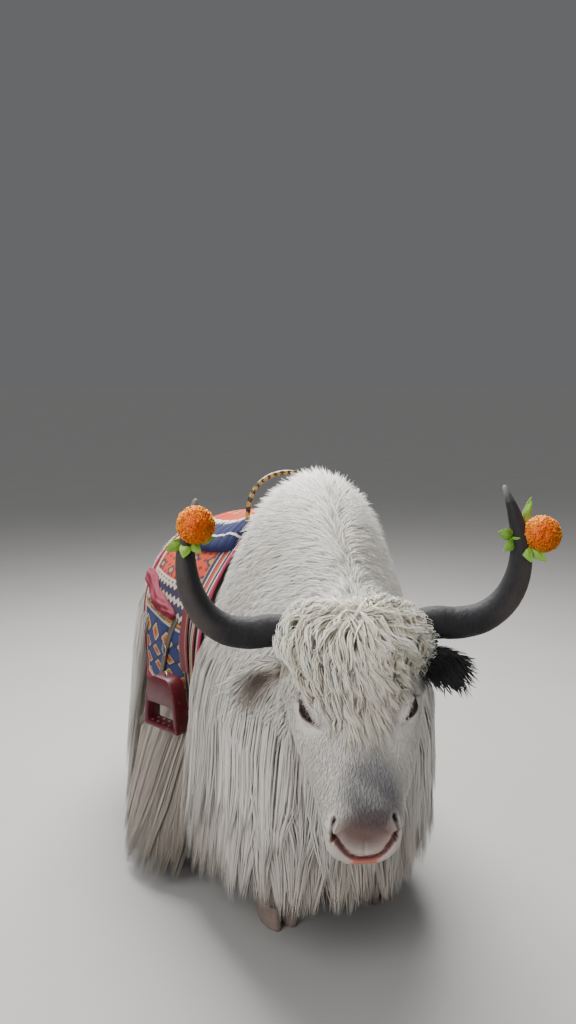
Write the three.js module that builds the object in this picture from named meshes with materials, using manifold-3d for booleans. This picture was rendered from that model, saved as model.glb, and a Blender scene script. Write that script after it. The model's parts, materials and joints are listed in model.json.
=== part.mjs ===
// A white domestic yak of the high lake shores, standing with its head lowered and turned to its right,
// dressed for visitors: a woven rug and riding saddle on its back and a marigold on each horn.
// Millimetres, +Z up. The yak faces -Y and its own left side is +X.
import * as THREE from "three";
import { mergeVertices } from "three/addons/utils/BufferGeometryUtils.js";
import Module from "manifold-3d";

const wasm = await Module();
wasm.setup();

// Driving dimensions. Places are measured from the floor point under the top of the hump.
const GAP = 0.3;
const SLIVER = 0.12;
const HUMP_HEIGHT = 1340;
const BOX_CENTRE = [-81, 225];
const MID_CUT_Y = 190;
const NECK_CUT_Y = -380;
const TRUNK_SIDES = 24;
const TRUNK_STEP = 98;
const BELLY_ROUNDNESS = 2.7;

// Trunk stations: place along the back, sideways bend, top line, belly, half width, level of the
// widest point and roundness of the section above it
const TRUNK = [
  { y: -400, mid: -102, top: 1065, belly: 650, half: 178, wide: 850, round: 1.8 },
  { y: -330, mid: -80, top: 1118, belly: 565, half: 222, wide: 820, round: 1.6 },
  { y: -200, mid: -45, top: 1235, belly: 480, half: 278, wide: 785, round: 1.5 },
  { y: -100, mid: -20, top: 1306, belly: 450, half: 300, wide: 765, round: 1.55 },
  { y: 0, mid: -4, top: HUMP_HEIGHT, belly: 440, half: 315, wide: 755, round: 1.7 },
  { y: 100, mid: 0, top: 1315, belly: 435, half: 322, wide: 750, round: 1.75 },
  { y: 220, mid: 0, top: 1185, belly: 430, half: 308, wide: 740, round: 1.8 },
  { y: 500, mid: 0, top: 1110, belly: 440, half: 345, wide: 735, round: 2.2 },
  { y: 800, mid: 0, top: 1100, belly: 480, half: 325, wide: 750, round: 2.2 },
  { y: 1000, mid: 0, top: 1030, belly: 560, half: 248, wide: 770, round: 2.0 },
  { y: 1120, mid: 0, top: 880, belly: 680, half: 120, wide: 790, round: 2.0 },
];

// The head: its eye line, its pose and its stations from the poll to the lips, forward being -Y
const EYE_LINE = [-259, -724, 927];
const HEAD_PITCH = 60;
const HEAD_YAW = 21.7;
const HEAD_ROLL = 2.2;
const HEAD_SIDES = 22;
const HEAD_STEP = 46;
const HEAD = [
  { y: 205, mid: 0, top: -20, belly: -110, half: 75, wide: -60, round: 2.0 },
  { y: 170, mid: 0, top: 20, belly: -150, half: 125, wide: -60, round: 2.2 },
  { y: 110, mid: 0, top: 42, belly: -175, half: 150, wide: -60, round: 2.4 },
  { y: 30, mid: 0, top: 46, belly: -195, half: 155, wide: -75, round: 2.3 },
  { y: -60, mid: 0, top: 36, belly: -182, half: 140, wide: -70, round: 2.2 },
  { y: -140, mid: 0, top: 26, belly: -150, half: 116, wide: -60, round: 2.2 },
  { y: -210, mid: -5, top: 20, belly: -124, half: 93, wide: -50, round: 2.3 },
  { y: -240, mid: -6, top: 9, belly: -119, half: 88, wide: -53, round: 2.4 },
  { y: -267, mid: -6, top: -14, belly: -117, half: 86, wide: -60, round: 2.5 },
  { y: -292, mid: -6, top: -41, belly: -114, half: 80, wide: -72, round: 2.5 },
  { y: -310, mid: -6, top: -64, belly: -108, half: 60, wide: -85, round: 2.3 },
  { y: -320, mid: -6, top: -76, belly: -100, half: 36, wide: -88, round: 2.2 },
];
const WOOL_DOME = { y: 112, z: -34, halfX: 160, halfY: 94, halfZ: 98 };
const EYE = { x: 104, y: -10, z: 0, radius: 21, slitLength: 46, slitHeight: 20, slitTilt: 16 };
const NOSTRIL = { x: 62, y: -246, z: -8, length: 15, height: 9, depth: 20 };
const MOUTH = { z: -86, corner: -222, height: 5, depth: 13 };

// The neck: stations from inside the trunk to inside the head
const NECK = [
  { centre: [-60, -310, 860], turn: 12, half: 200, up: 235, down: 270 },
  { centre: [-100, -400, 862], turn: 17, half: 178, up: 205, down: 222 },
  { centre: [-140, -480, 872], turn: 20, half: 162, up: 190, down: 190 },
  { centre: [-178, -560, 880], turn: 22, half: 144, up: 168, down: 160 },
  { centre: [-208, -640, 880], turn: 22, half: 120, up: 125, down: 125 },
];
const HEAD_CUT = { at: [-192, -568, 885], normal: [-0.4, -0.9, -0.15] };

// The horns: the right one's middle line from its root inside the skull, to the side, behind and
// above the eye line, and its radius there
const HORN = [
  { at: [100, 88, 132], radius: 33 },
  { at: [180, 90, 150], radius: 34 },
  { at: [240, 88, 148], radius: 33 },
  { at: [297, 82, 161], radius: 31 },
  { at: [344, 76, 199], radius: 28.5 },
  { at: [372, 74, 256], radius: 25 },
  { at: [380, 80, 322], radius: 20.5 },
  { at: [370, 92, 385], radius: 14 },
  { at: [352, 108, 448], radius: 5 },
];
const HORN_SIDES = 12;
const HORN_RIGHT_SHARE = 0.95;
const EAR = { root: [132, 52, 70], tip: [246, 62, 46], width: 88, cup: 28, wall: 7 };

// The legs: stations from inside the trunk down to the hoof
const LEG_X = 165;
const LEG_FRONT_Y = -45;
const LEG_HIND_Y = 830;
const LEG_FRONT = [
  { z: 640, y: 0, halfX: 75, halfY: 105 },
  { z: 480, y: 0, halfX: 66, halfY: 84 },
  { z: 330, y: -4, halfX: 50, halfY: 56 },
  { z: 220, y: 2, halfX: 41, halfY: 46 },
  { z: 120, y: 4, halfX: 44, halfY: 52 },
  { z: 66, y: -6, halfX: 50, halfY: 58 },
];
const LEG_HIND = [
  { z: 690, y: -40, halfX: 82, halfY: 140 },
  { z: 520, y: -10, halfX: 68, halfY: 108 },
  { z: 400, y: 48, halfX: 48, halfY: 66 },
  { z: 240, y: 42, halfX: 40, halfY: 48 },
  { z: 120, y: 22, halfX: 44, halfY: 52 },
  { z: 66, y: 8, halfX: 49, halfY: 57 },
];
const HOOF_TOP = 66;
const HOOF = { halfX: 53, halfY: 66, forward: 10, slit: 7, slitDepth: 74 };

// The tail's core, from the rump down to half of its length
const TAIL = [
  { y: 1080, z: 930, radius: 40 },
  { y: 1160, z: 905, radius: 44 },
  { y: 1215, z: 830, radius: 46 },
  { y: 1240, z: 700, radius: 50 },
  { y: 1248, z: 560, radius: 44 },
];
const TAIL_TIP = 250;

// The long coat: where it starts on the breast, the flanks and the rump, and how near the floor it ends
const COAT_FRONT_Y = -70;
const COAT_REAR_Y = 790;
const COAT_RADIUS = 330;
const COAT_HEM = [
  { y: 0, top: 200, flare: 0.02 }, { y: 0.15, top: 195, flare: 0.05 }, { y: 0.25, top: 165, flare: 0.08 },
  { y: 0.33, top: 115, flare: 0.09 }, { y: 0.4, top: 170, flare: 0.12 }, { y: 0.47, top: 45, flare: 0.17 },
  { y: 0.6, top: 28, flare: 0.17 }, { y: 0.8, top: 40, flare: 0.1 }, { y: 1, top: 110, flare: 0.04 },
];

// The rug, from its front edge to its rear edge, its hem on each flank and its thickness
const RUG = { front: 208, rear: 720, rearHem: 640, hem: 560, thick: 12, sink: 18 };
const PAD = { front: 240, rear: 590, reach: 0.3, thick: 42 };
const HOOP = { y: 252, halfWidth: 130, foot: 1165, top: 1322, radius: 7.5 };
const STIRRUP = { y: 300, z: 600, width: 160, height: 172, depth: 56, rim: 16, window: 66, lift: 12 };
const GIRTH = { from: [262, 930], to: [236, 520], lift: 2, width: 30, thick: 3.5 };
const FENDER = { from: [335, 915], to: [300, 690], lift: 2, width: 78, thick: 4 };
const LEATHER = { from: [372, 850], to: [575, 430], lift: 3, width: 26, thick: 4 };
const COAT_SWELL = 50;

const rand = seeded(14);

// A repeatable draw between low and high
function seeded(seed) {
  let state = seed;
  return (low = 0, high = 1) => {
    state = (Math.imul(state, 1664525) + 1013904223) >>> 0;
    return low + ((high - low) * state) / 4294967296;
  };
}

const point = (x, y, z) => new THREE.Vector3(x, y, z);
const lerp = THREE.MathUtils.lerp;
const radians = THREE.MathUtils.degToRad;

// A closed solid from corners and triangles, turned so that its faces point out
function solidOf(points, triangles) {
  const vertProperties = Float32Array.from(points.flatMap((p) => [p.x, p.y, p.z]));
  const make = (corners) => {
    const mesh = new wasm.Mesh({ numProp: 3, vertProperties, triVerts: Uint32Array.from(corners) });
    return new wasm.Manifold(mesh);
  };
  const made = make(triangles);
  return made.volume() > 0 ? made : make(triangles.slice().reverse());
}

// A three.js geometry as a solid
function solidFrom(geometry) {
  const bare = new THREE.BufferGeometry();
  bare.setAttribute("position", geometry.getAttribute("position"));
  if (geometry.index) bare.setIndex(geometry.index);
  const merged = mergeVertices(bare, 1e-3);
  const place = merged.attributes.position;
  const points = [];
  for (let i = 0; i < place.count; i++) points.push(new THREE.Vector3().fromBufferAttribute(place, i));
  return solidOf(points, Array.from(merged.index.array));
}

// A solid through rings of the same number of points, closed over both ends or drawn out to a tip
function loft(rings, tip) {
  const count = rings[0].length;
  const points = rings.flat();
  const triangles = [];
  for (let r = 0; r < rings.length - 1; r++) {
    for (let i = 0; i < count; i++) {
      const a = r * count + i;
      const b = r * count + ((i + 1) % count);
      triangles.push(a, b, b + count, a, b + count, a + count);
    }
  }
  const lastRing = (rings.length - 1) * count;
  for (let i = 1; i < count - 1; i++) {
    triangles.push(0, i + 1, i);
    if (!tip) triangles.push(lastRing, lastRing + i, lastRing + i + 1);
  }
  if (tip) {
    points.push(tip);
    for (let i = 0; i < count; i++) {
      triangles.push(points.length - 1, lastRing + i, lastRing + ((i + 1) % count));
    }
  }
  return solidOf(points, triangles);
}

// A bent plate between two grids of points, its outer and its inner face
function plate(outer, inner) {
  const [rows, columns] = [outer.length - 1, outer[0].length - 1];
  const points = [...outer.flat(), ...inner.flat()];
  const face = (r, c) => r * (columns + 1) + c;
  const back = (r, c) => face(r, c) + points.length / 2;
  const triangles = [];
  const quad = (a, b, c, d) => triangles.push(a, b, c, a, c, d);
  for (let r = 0; r < rows; r++) {
    for (let c = 0; c < columns; c++) {
      quad(face(r, c), face(r, c + 1), face(r + 1, c + 1), face(r + 1, c));
      quad(back(r, c), back(r + 1, c), back(r + 1, c + 1), back(r, c + 1));
    }
    quad(face(r, 0), face(r + 1, 0), back(r + 1, 0), back(r, 0));
    quad(face(r + 1, columns), face(r, columns), back(r, columns), back(r + 1, columns));
  }
  for (let c = 0; c < columns; c++) {
    quad(face(0, c + 1), face(0, c), back(0, c), back(0, c + 1));
    quad(face(rows, c), face(rows, c + 1), back(rows, c + 1), back(rows, c));
  }
  return solidOf(points, triangles);
}

// An ellipsoid of 20 triangles for each square of detail + 1
function ellipsoid(centre, halfX, halfY, halfZ, detail = 3) {
  const ball = new THREE.IcosahedronGeometry(1, detail);
  ball.scale(halfX, halfY, halfZ);
  ball.translate(...centre);
  return solidFrom(ball);
}

function box(centre, sizeX, sizeY, sizeZ) {
  const block = new THREE.BoxGeometry(sizeX, sizeY, sizeZ);
  block.translate(...centre);
  return solidFrom(block);
}

const united = (solids) => wasm.Manifold.union(solids).asOriginal().simplify(SLIVER);

// The triangles of a solid as points and index
function pointsOf(solid) {
  const mesh = solid.getMesh();
  const points = [];
  for (let i = 0; i < mesh.vertProperties.length; i += mesh.numProp) {
    points.push(point(...mesh.vertProperties.slice(i, i + 3)));
  }
  return { points, triangles: Array.from(mesh.triVerts) };
}

// The solid grown outwards along its corners' normals
function swollen(solid, distance = GAP * 1.15) {
  const { points, triangles } = pointsOf(solid);
  const normals = points.map(() => point(0, 0, 0));
  for (let i = 0; i < triangles.length; i += 3) {
    const corners = triangles.slice(i, i + 3);
    const [a, b, c] = corners.map((corner) => points[corner]);
    const face = b.clone().sub(a).cross(c.clone().sub(a)).normalize();
    corners.forEach((corner, k) => {
      const one = points[corners[(k + 1) % 3]].clone().sub(points[corner]);
      const other = points[corners[(k + 2) % 3]].clone().sub(points[corner]);
      normals[corner].addScaledVector(face, one.angleTo(other));
    });
  }
  const grown = points.map((p, i) => p.clone().addScaledVector(normals[i].normalize(), distance));
  return solidOf(grown, triangles);
}

function moved(solid, matrix) {
  const { points, triangles } = pointsOf(solid);
  return solidOf(points.map((p) => p.applyMatrix4(matrix)), triangles);
}

// One value of a list of stations at any place between them, as a smooth curve
function between(stations, key, at) {
  const last = stations.length - 1;
  const [low, high] = [stations[0].y, stations[last].y].sort((a, b) => a - b);
  const y = THREE.MathUtils.clamp(at, low, high);
  let i = 0;
  while (i < last - 1 && (stations[i + 1].y - y) * (stations[last].y - stations[0].y) < 0) i++;
  const slope = (k) => {
    const before = stations[Math.max(k - 1, 0)];
    const after = stations[Math.min(k + 1, last)];
    return (after[key] - before[key]) / (after.y - before.y);
  };
  const span = stations[i + 1].y - stations[i].y;
  const t = (y - stations[i].y) / span;
  const a = stations[i][key];
  const b = stations[i + 1][key];
  const cubic = 2 * (a - b) + span * (slope(i) + slope(i + 1));
  const square = 3 * (b - a) - span * (2 * slope(i) + slope(i + 1));
  return ((cubic * t + square) * t + span * slope(i)) * t + a;
}

const stationAt = (stations, y) => {
  const values = { y };
  const keys = ["mid", "top", "belly", "half", "wide", "round"];
  for (const key of keys) values[key] = between(stations, key, y);
  return values;
};

// One ring of a body section: rounded above its widest level and rounder below
function sectionRing(station, sides, grow = 0) {
  const ring = [];
  for (let i = 0; i < sides; i++) {
    const angle = (2 * Math.PI * i) / sides;
    const [c, s] = [Math.cos(angle), Math.sin(angle)];
    const round = s > 0 ? station.round : BELLY_ROUNDNESS;
    const height = s > 0 ? station.top - station.wide : station.wide - station.belly;
    const x = (station.half + grow) * Math.sign(c) * Math.abs(c) ** (2 / round);
    const z = (height + grow) * Math.sign(s) * Math.abs(s) ** (2 / round);
    ring.push(point(station.mid + x, station.y, station.wide + z));
  }
  return ring;
}

// Half width of a section at one level, or nothing above or below it
function halfWidthAt(station, z) {
  const above = z > station.wide;
  const round = above ? station.round : BELLY_ROUNDNESS;
  const height = above ? station.top - station.wide : station.wide - station.belly;
  const t = Math.abs(z - station.wide) / height;
  return t < 1 ? station.half * (1 - t ** round) ** (1 / round) : 0;
}

// Even steps from one value to another
function steps(count, from, to) {
  return Array.from({ length: count + 1 }, (_, i) => lerp(from, to, i / count));
}

// The solid of a row of stations, with a ring about every so many millimetres
function body(stations, sides, spacing, grow = 0) {
  const [from, to] = [stations[0].y, stations.at(-1).y];
  const places = steps(Math.ceil(Math.abs(to - from) / spacing), from, to);
  return loft(places.map((y) => sectionRing(stationAt(stations, y), sides, grow)));
}

const trunk = () => body(TRUNK, TRUNK_SIDES, TRUNK_STEP);

// Materials
const finish = (color, roughness, metalness = 0) =>
  new THREE.MeshStandardMaterial({ color, roughness, metalness });
const whiteCoat = finish(0xe9e4da, 0.9);
const blackHair = finish(0x17161a, 0.8);
const hornBlack = finish(0x232327, 0.45);
const eyeDark = finish(0x120c0a, 0.1);
const hoofHorn = finish(0x8a6f60, 0.6);
const rugCloth = finish(0xc8452a, 0.9);
const padCloth = finish(0x5a2430, 0.9);
const hoopLacquer = finish(0x3a2c12, 0.4);
const sashCloth = finish(0xd0405a, 0.8);
const stirrupRed = finish(0x8c1020, 0.5);
const fenderMaroon = finish(0x5c1222, 0.6);
const girthWeb = finish(0x8a6a3c, 0.9);
const strapLeather = finish(0x6b5c52, 0.7);
const petalOrange = finish(0xf27a12, 0.7);
const leafGreen = finish(0x4f9a2c, 0.6);

const yak = new THREE.Group();

// The largest closed surface of a solid, as a named mesh
function addNode(name, solid, material) {
  const pieces = solid.asOriginal().simplify(GAP / 6).decompose();
  pieces.sort((a, b) => b.volume() - a.volume());
  const mesh = pieces[0].getMesh();
  const geometry = new THREE.BufferGeometry();
  geometry.setAttribute("position", new THREE.BufferAttribute(mesh.vertProperties, mesh.numProp));
  geometry.setIndex(new THREE.BufferAttribute(mesh.triVerts, 1));
  const node = new THREE.Mesh(geometry, material);
  node.name = name;
  yak.add(node);
}

const floorPoint = ([x, y, z]) => point(x, y, z);

// The pose of the head, and the level one of the horns that share its turn and tilt
function headPlace(pitch) {
  const turn = new THREE.Euler(radians(pitch), -radians(HEAD_ROLL), -radians(HEAD_YAW), "ZYX");
  return new THREE.Matrix4().makeRotationFromEuler(turn).setPosition(...EYE_LINE);
}

const mirrorX = new THREE.Matrix4().makeScale(-1, 1, 1);

// A ring of an ellipse across a path
function ellipseRing(centre, along, side, halfSide, halfOther, sides, halfBelow = halfOther) {
  const other = along.clone().cross(side).normalize();
  return Array.from({ length: sides }, (_, i) => {
    const angle = (2 * Math.PI * i) / sides;
    const reach = Math.sin(angle) > 0 ? halfOther : halfBelow;
    return centre.clone()
      .addScaledVector(side, halfSide * Math.cos(angle))
      .addScaledVector(other, reach * Math.sin(angle));
  });
}

function alongPath(points, i) {
  const before = points[Math.max(i - 1, 0)];
  const after = points[Math.min(i + 1, points.length - 1)];
  return after.clone().sub(before).normalize();
}

// A round rod through points, with a radius at each
function rod(points, radii, sides) {
  let side = point(0, 0, 1);
  if (Math.abs(alongPath(points, 0).z) > 0.8) side = point(1, 0, 0);
  return loft(points.map((centre, i) => {
    const along = alongPath(points, i);
    side = side.clone().addScaledVector(along, -side.dot(along)).normalize();
    return ellipseRing(centre, along, side, radii[i], radii[i], sides);
  }));
}

// Head, in its own frame: the eye line is the origin, the muzzle points to -Y and the crown is up
const headCore = (grow = 0) => body(HEAD, HEAD_SIDES, HEAD_STEP, grow);

// The brow and lid swelling round each eye, with the slit between the lids and the socket behind it
function eyeShapes(side) {
  const { x, y, z, radius, slitLength, slitHeight, slitTilt } = EYE;
  const centre = [side * x, y, z];
  const lids = ellipsoid([side * (x - 1), y, z - 1], radius + 6, radius + 12, radius + 6, 2);
  const brow = ellipsoid([side * (x - 10), y + 8, z + 20], 28, 44, 15, 1);
  const half = slitLength / 2;
  const almond = new THREE.Shape();
  almond.moveTo(-half, 0);
  almond.quadraticCurveTo(0, slitHeight, half, 0);
  almond.quadraticCurveTo(0, -slitHeight, -half, 0);
  const cutter = new THREE.ExtrudeGeometry(almond, { depth: 60, bevelEnabled: false, curveSegments: 4 });
  cutter.rotateZ(radians(slitTilt));
  const outwards = new THREE.Matrix4().makeBasis(point(0, -1, 0), point(0, 0, 1), point(side, 0, 0));
  cutter.applyMatrix4(outwards.setPosition(...centre));
  const socket = ellipsoid(centre, radius + 2 * GAP, radius + 2 * GAP, radius + 2 * GAP, 2);
  return { lids, brow, slit: solidFrom(cutter), socket };
}

function nostril(side) {
  const { x, y, z, length, height, depth } = NOSTRIL;
  const hollow = new THREE.IcosahedronGeometry(1, 1);
  hollow.scale(height, depth, length);
  hollow.rotateY(side * radians(38));
  hollow.translate(side * x, y, z);
  const rim = ellipsoid([side * (x - 6), y + 10, z - 10], 24, 26, 20, 1);
  return { hollow: solidFrom(hollow), rim };
}

// The line of the mouth: a slot that follows the outline of the muzzle from corner to corner
function mouthLine() {
  const { z, corner, height, depth } = MOUTH;
  const slotLength = corner + 360;
  const slab = box([0, corner - slotLength / 2, z], 260, slotLength, height);
  return slab.subtract(headCore(-depth));
}

function lips() {
  const station = stationAt(HEAD, -292);
  const line = [-1, -0.8, -0.45, 0, 0.45, 0.8, 1].map((share) => {
    const angle = (share * Math.PI) / 2;
    return point(Math.sin(angle) * (station.half - 9), MOUTH.corner + 20 - Math.cos(angle) * 84, 0);
  });
  const radii = [9, 12, 14, 15, 14, 12, 9];
  const upper = rod(line.map((p) => p.clone().setZ(MOUTH.z + 13)), radii, 8);
  const lower = rod(line.map((p) => p.clone().setZ(MOUTH.z - 13)), radii.map((r) => r - 1), 8);
  return upper.add(lower);
}

function woolDome() {
  const { y, z, halfX, halfY, halfZ } = WOOL_DOME;
  return ellipsoid([0, y, z], halfX, halfY, halfZ, 3);
}

function headSolid() {
  let head = headCore().add(woolDome()).add(lips());
  for (const side of [1, -1]) {
    const eye = eyeShapes(side);
    const nose = nostril(side);
    head = head.add(eye.lids).add(eye.brow).add(nose.rim);
    head = head.subtract(eye.socket).subtract(eye.slit).subtract(nose.hollow);
  }
  return head.subtract(mouthLine());
}

// An ear: a leaf-shaped cup, opening forward and down, thin at its rim. A point of its wall lies at a
// share of its length and at an angle from the middle of its back, its lower rim being at -88 degrees.
const EAR_SHARES = [0, 0.12, 0.28, 0.45, 0.62, 0.78, 0.9, 1];
const EAR_WIDTHS = [0.42, 0.66, 0.9, 1, 0.95, 0.76, 0.5, 0.16];
const EAR_RIM = 88;
function earPoint(i, degrees, lift) {
  const [root, tip] = [floorPoint(EAR.root), floorPoint(EAR.tip)];
  const along = tip.clone().sub(root);
  const back = point(0.12, 0.86, 0.5).normalize();
  const across = along.clone().normalize().cross(back).normalize();
  const [half, depth] = [(EAR.width / 2) * EAR_WIDTHS[i], EAR.cup * EAR_WIDTHS[i]];
  const angle = radians(degrees);
  return root.addScaledVector(along, EAR_SHARES[i])
    .addScaledVector(across, (half - (EAR.wall - lift) * 0.3) * Math.sin(angle))
    .addScaledVector(back, (depth - EAR.wall + lift) * Math.cos(angle));
}

function ear() {
  const grid = (rim, lift) => EAR_SHARES.map((_, i) => {
    return steps(7, -rim, rim).map((angle) => earPoint(i, angle, lift));
  });
  return plate(grid(EAR_RIM, EAR.wall), grid(EAR_RIM - 3.4, 0));
}

function horn(side) {
  const share = side > 0 ? 1 : -HORN_RIGHT_SHARE;
  const curve = new THREE.CatmullRomCurve3(HORN.map(({ at: [x, y, z] }) => point(share * x, y, z)));
  const places = steps(14, 0, 1);
  const points = places.map((t) => curve.getPoint(t));
  const radii = places.map((t) => {
    const run = t * (HORN.length - 1);
    const i = Math.min(Math.floor(run), HORN.length - 2);
    return lerp(HORN[i].radius, HORN[i + 1].radius, run - i);
  });
  return rod(points, radii, HORN_SIDES);
}

// A neck through its stations, each turned a little further towards the lowered head
function neckCore() {
  return loft(NECK.map(({ centre, turn, half, up, down }) => {
    const angle = radians(turn);
    const side = point(Math.cos(angle), -Math.sin(angle), 0);
    const along = point(-Math.sin(angle), -Math.cos(angle), 0);
    return ellipseRing(floorPoint(centre), along, side, half, up, 26, down);
  }));
}

// Everything on one side of a plane, as a large block turned to face along its normal
function halfSpace(at, normal, shift = 0) {
  const size = 4000;
  const block = new THREE.BoxGeometry(size, size, size);
  block.translate(0, 0, size / 2 + shift);
  const facing = floorPoint(normal).normalize();
  block.applyQuaternion(new THREE.Quaternion().setFromUnitVectors(point(0, 0, 1), facing));
  block.translate(...at);
  return solidFrom(block);
}

function onSide(solid, at, normal) {
  return solid.intersect(halfSpace(at, normal, GAP / 2));
}

const opposite = (normal) => normal.map((value) => -value);

function leg(stations, place) {
  const rings = stations.map(({ z, y, halfX, halfY }) => {
    const centre = point(place[0], place[1] + y, z);
    return ellipseRing(centre, point(0, 0, -1), point(1, 0, 0), halfX, halfY, 12);
  });
  const dewclaws = [-1, 1].map((side) => {
    const low = stations.at(-2);
    return ellipsoid([place[0] + side * 20, place[1] + low.y + low.halfY - 4, low.z - 16], 13, 14, 20, 0);
  });
  return united([loft(rings), ...dewclaws]);
}

// A cloven hoof: two claws joined at the heel, flat on the floor
function hoof(place) {
  const levels = [
    { z: 0, size: 1 }, { z: 22, size: 1.02 }, { z: HOOF_TOP - GAP, size: 0.9 },
  ];
  const rings = levels.map(({ z, size }) => {
    const centre = point(place[0], place[1] - HOOF.forward * (1 - z / HOOF_TOP), z);
    return ellipseRing(centre, point(0, 0, 1), point(1, 0, 0), HOOF.halfX * size, HOOF.halfY * size, 16);
  });
  const toe = place[1] - HOOF.forward - HOOF.halfY;
  const slit = box([place[0], toe - 10 + HOOF.slitDepth / 2, 30], HOOF.slit, HOOF.slitDepth, 120);
  return loft(rings).subtract(slit);
}

function tailCore() {
  const points = TAIL.map(({ y, z }) => point(0, y, z));
  return rod(points, TAIL.map(({ radius }) => radius), 12);
}

// The line that the long coat hangs from, seen from above: share 0 is the middle of the breast,
// share 1 the tail. It gives a point inside the trunk and the way out from it.
function coatLine(share, side) {
  const arc = (Math.PI / 2) * COAT_RADIUS;
  const straight = COAT_REAR_Y - COAT_FRONT_Y;
  const run = share * (2 * arc + straight);
  if (run < arc) {
    const angle = run / COAT_RADIUS;
    return { share, y: COAT_FRONT_Y, out: point(side * Math.sin(angle), -Math.cos(angle), 0) };
  }
  if (run < arc + straight) return { share, y: COAT_FRONT_Y + run - arc, out: point(side, 0, 0) };
  const angle = (run - arc - straight) / COAT_RADIUS;
  return { share, y: COAT_REAR_Y, out: point(side * Math.cos(angle), Math.sin(angle), 0) };
}

function insideTrunk(p) {
  if (p.y < TRUNK[0].y || p.y > TRUNK.at(-1).y) return false;
  const station = stationAt(TRUNK, p.y);
  return Math.abs(p.x - station.mid) < halfWidthAt(station, p.z);
}

// How far a body reaches from a point inside it, along one direction
function reachOf(isInside, from, out) {
  let [inside, outside] = [0, 700];
  for (let i = 0; i < 14; i++) {
    const middle = (inside + outside) / 2;
    if (isInside(from.clone().addScaledVector(out, middle))) inside = middle;
    else outside = middle;
  }
  return inside;
}

const trunkReach = ({ y, out }, z) => reachOf(insideTrunk, point(0, y, z), out);

// A point of the hanging coat: it follows the trunk down to its widest level, then hangs
function hangingPoint(line, rootZ, z, lift) {
  let reach = 0;
  const levels = 6;
  for (let i = 0; i <= levels; i++) reach = Math.max(reach, trunkReach(line, lerp(rootZ, z, i / levels)));
  const flare = between(COAT_HEM, "flare", line.share) * (rootZ - z);
  return point(0, line.y, z).addScaledVector(line.out, reach + flare + lift);
}

const hemLevel = (share) => between(COAT_HEM, "top", share);

// A flat lock: a low ridge over a flat back, widest near its root and drawn out to a point
const fullness = (share) => Math.min(0.6 + 2 * share, 1.12 - 0.62 * share);
function lock(points, outs, width, thick) {
  const last = points.length - 1;
  const rings = points.slice(0, last).map((centre, i) => {
    const along = alongPath(points, i);
    const across = along.clone().cross(outs[i]).normalize();
    const out = across.clone().cross(along).normalize();
    const half = (width / 2) * fullness(i / last);
    return [
      centre.clone().addScaledVector(across, -half),
      centre.clone().addScaledVector(out, thick * fullness(i / last)),
      centre.clone().addScaledVector(across, half),
    ];
  });
  return loft(rings, points[last]);
}

// Rows of locks, the upper first: the level of their roots on the flank, on the breast and under the
// rug, how many grow on each side, and how far they lie over the row beneath
const SKIRT_ROWS = [
  { flank: 790, breast: 640, covered: 545, count: 17, lift: 32, short: 45 },
  { flank: 600, breast: 560, covered: 525, count: 18, lift: 3, short: 0 },
];
const SKIRT_WIDTH = 150;
const SKIRT_THICK = 13;
const STAGGER = 15;
const LOCK_SHARES = [0, 0.14, 0.42, 0.74, 1];
const ROOT_SINK = 20;

// The level of a row's roots: lower on the breast, and close under the hem of the rug
function rootLevel({ flank, breast, covered }, line) {
  const underRug = line.y > RUG.front - 55 && line.y < RUG.rear && Math.abs(line.out.x) > 0.95;
  const forward = THREE.MathUtils.clamp(-line.out.y * 1.5 - 0.3, 0, 1);
  return underRug ? covered : lerp(flank, breast, forward);
}

function skirtLock(row, share, side, turn) {
  const line = coatLine(share, side);
  const rootZ = rootLevel(row, line) + rand(-10, 10);
  const tipZ = hemLevel(share) + row.short + rand(-12, 30);
  const along = line.out.clone().cross(point(0, 0, 1));
  const sway = rand(-24, 24);
  const lift = row.lift + (turn % 2) * STAGGER;
  const points = LOCK_SHARES.map((s) => {
    const rise = s === 0 ? -ROOT_SINK : lerp(1, lift, Math.min(1, s * 2.4));
    const place = hangingPoint(line, rootZ, lerp(rootZ, tipZ, s), rise);
    return place.addScaledVector(along, sway * s * s);
  });
  const outs = points.map(() => line.out);
  return lock(points, outs, SKIRT_WIDTH * rand(0.9, 1.1), SKIRT_THICK);
}

// All locks of one side, with room left for everything that they hang over or against
function skirtLocks(side, others, otherLocks) {
  const locks = SKIRT_ROWS.flatMap((row) => {
    const places = steps(row.count - 1, 0.028, 0.93);
    return places.map((share, i) => skirtLock(row, share, side, i));
  });
  return clearOfLocks(clearOf(united(locks), others), otherLocks);
}

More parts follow.
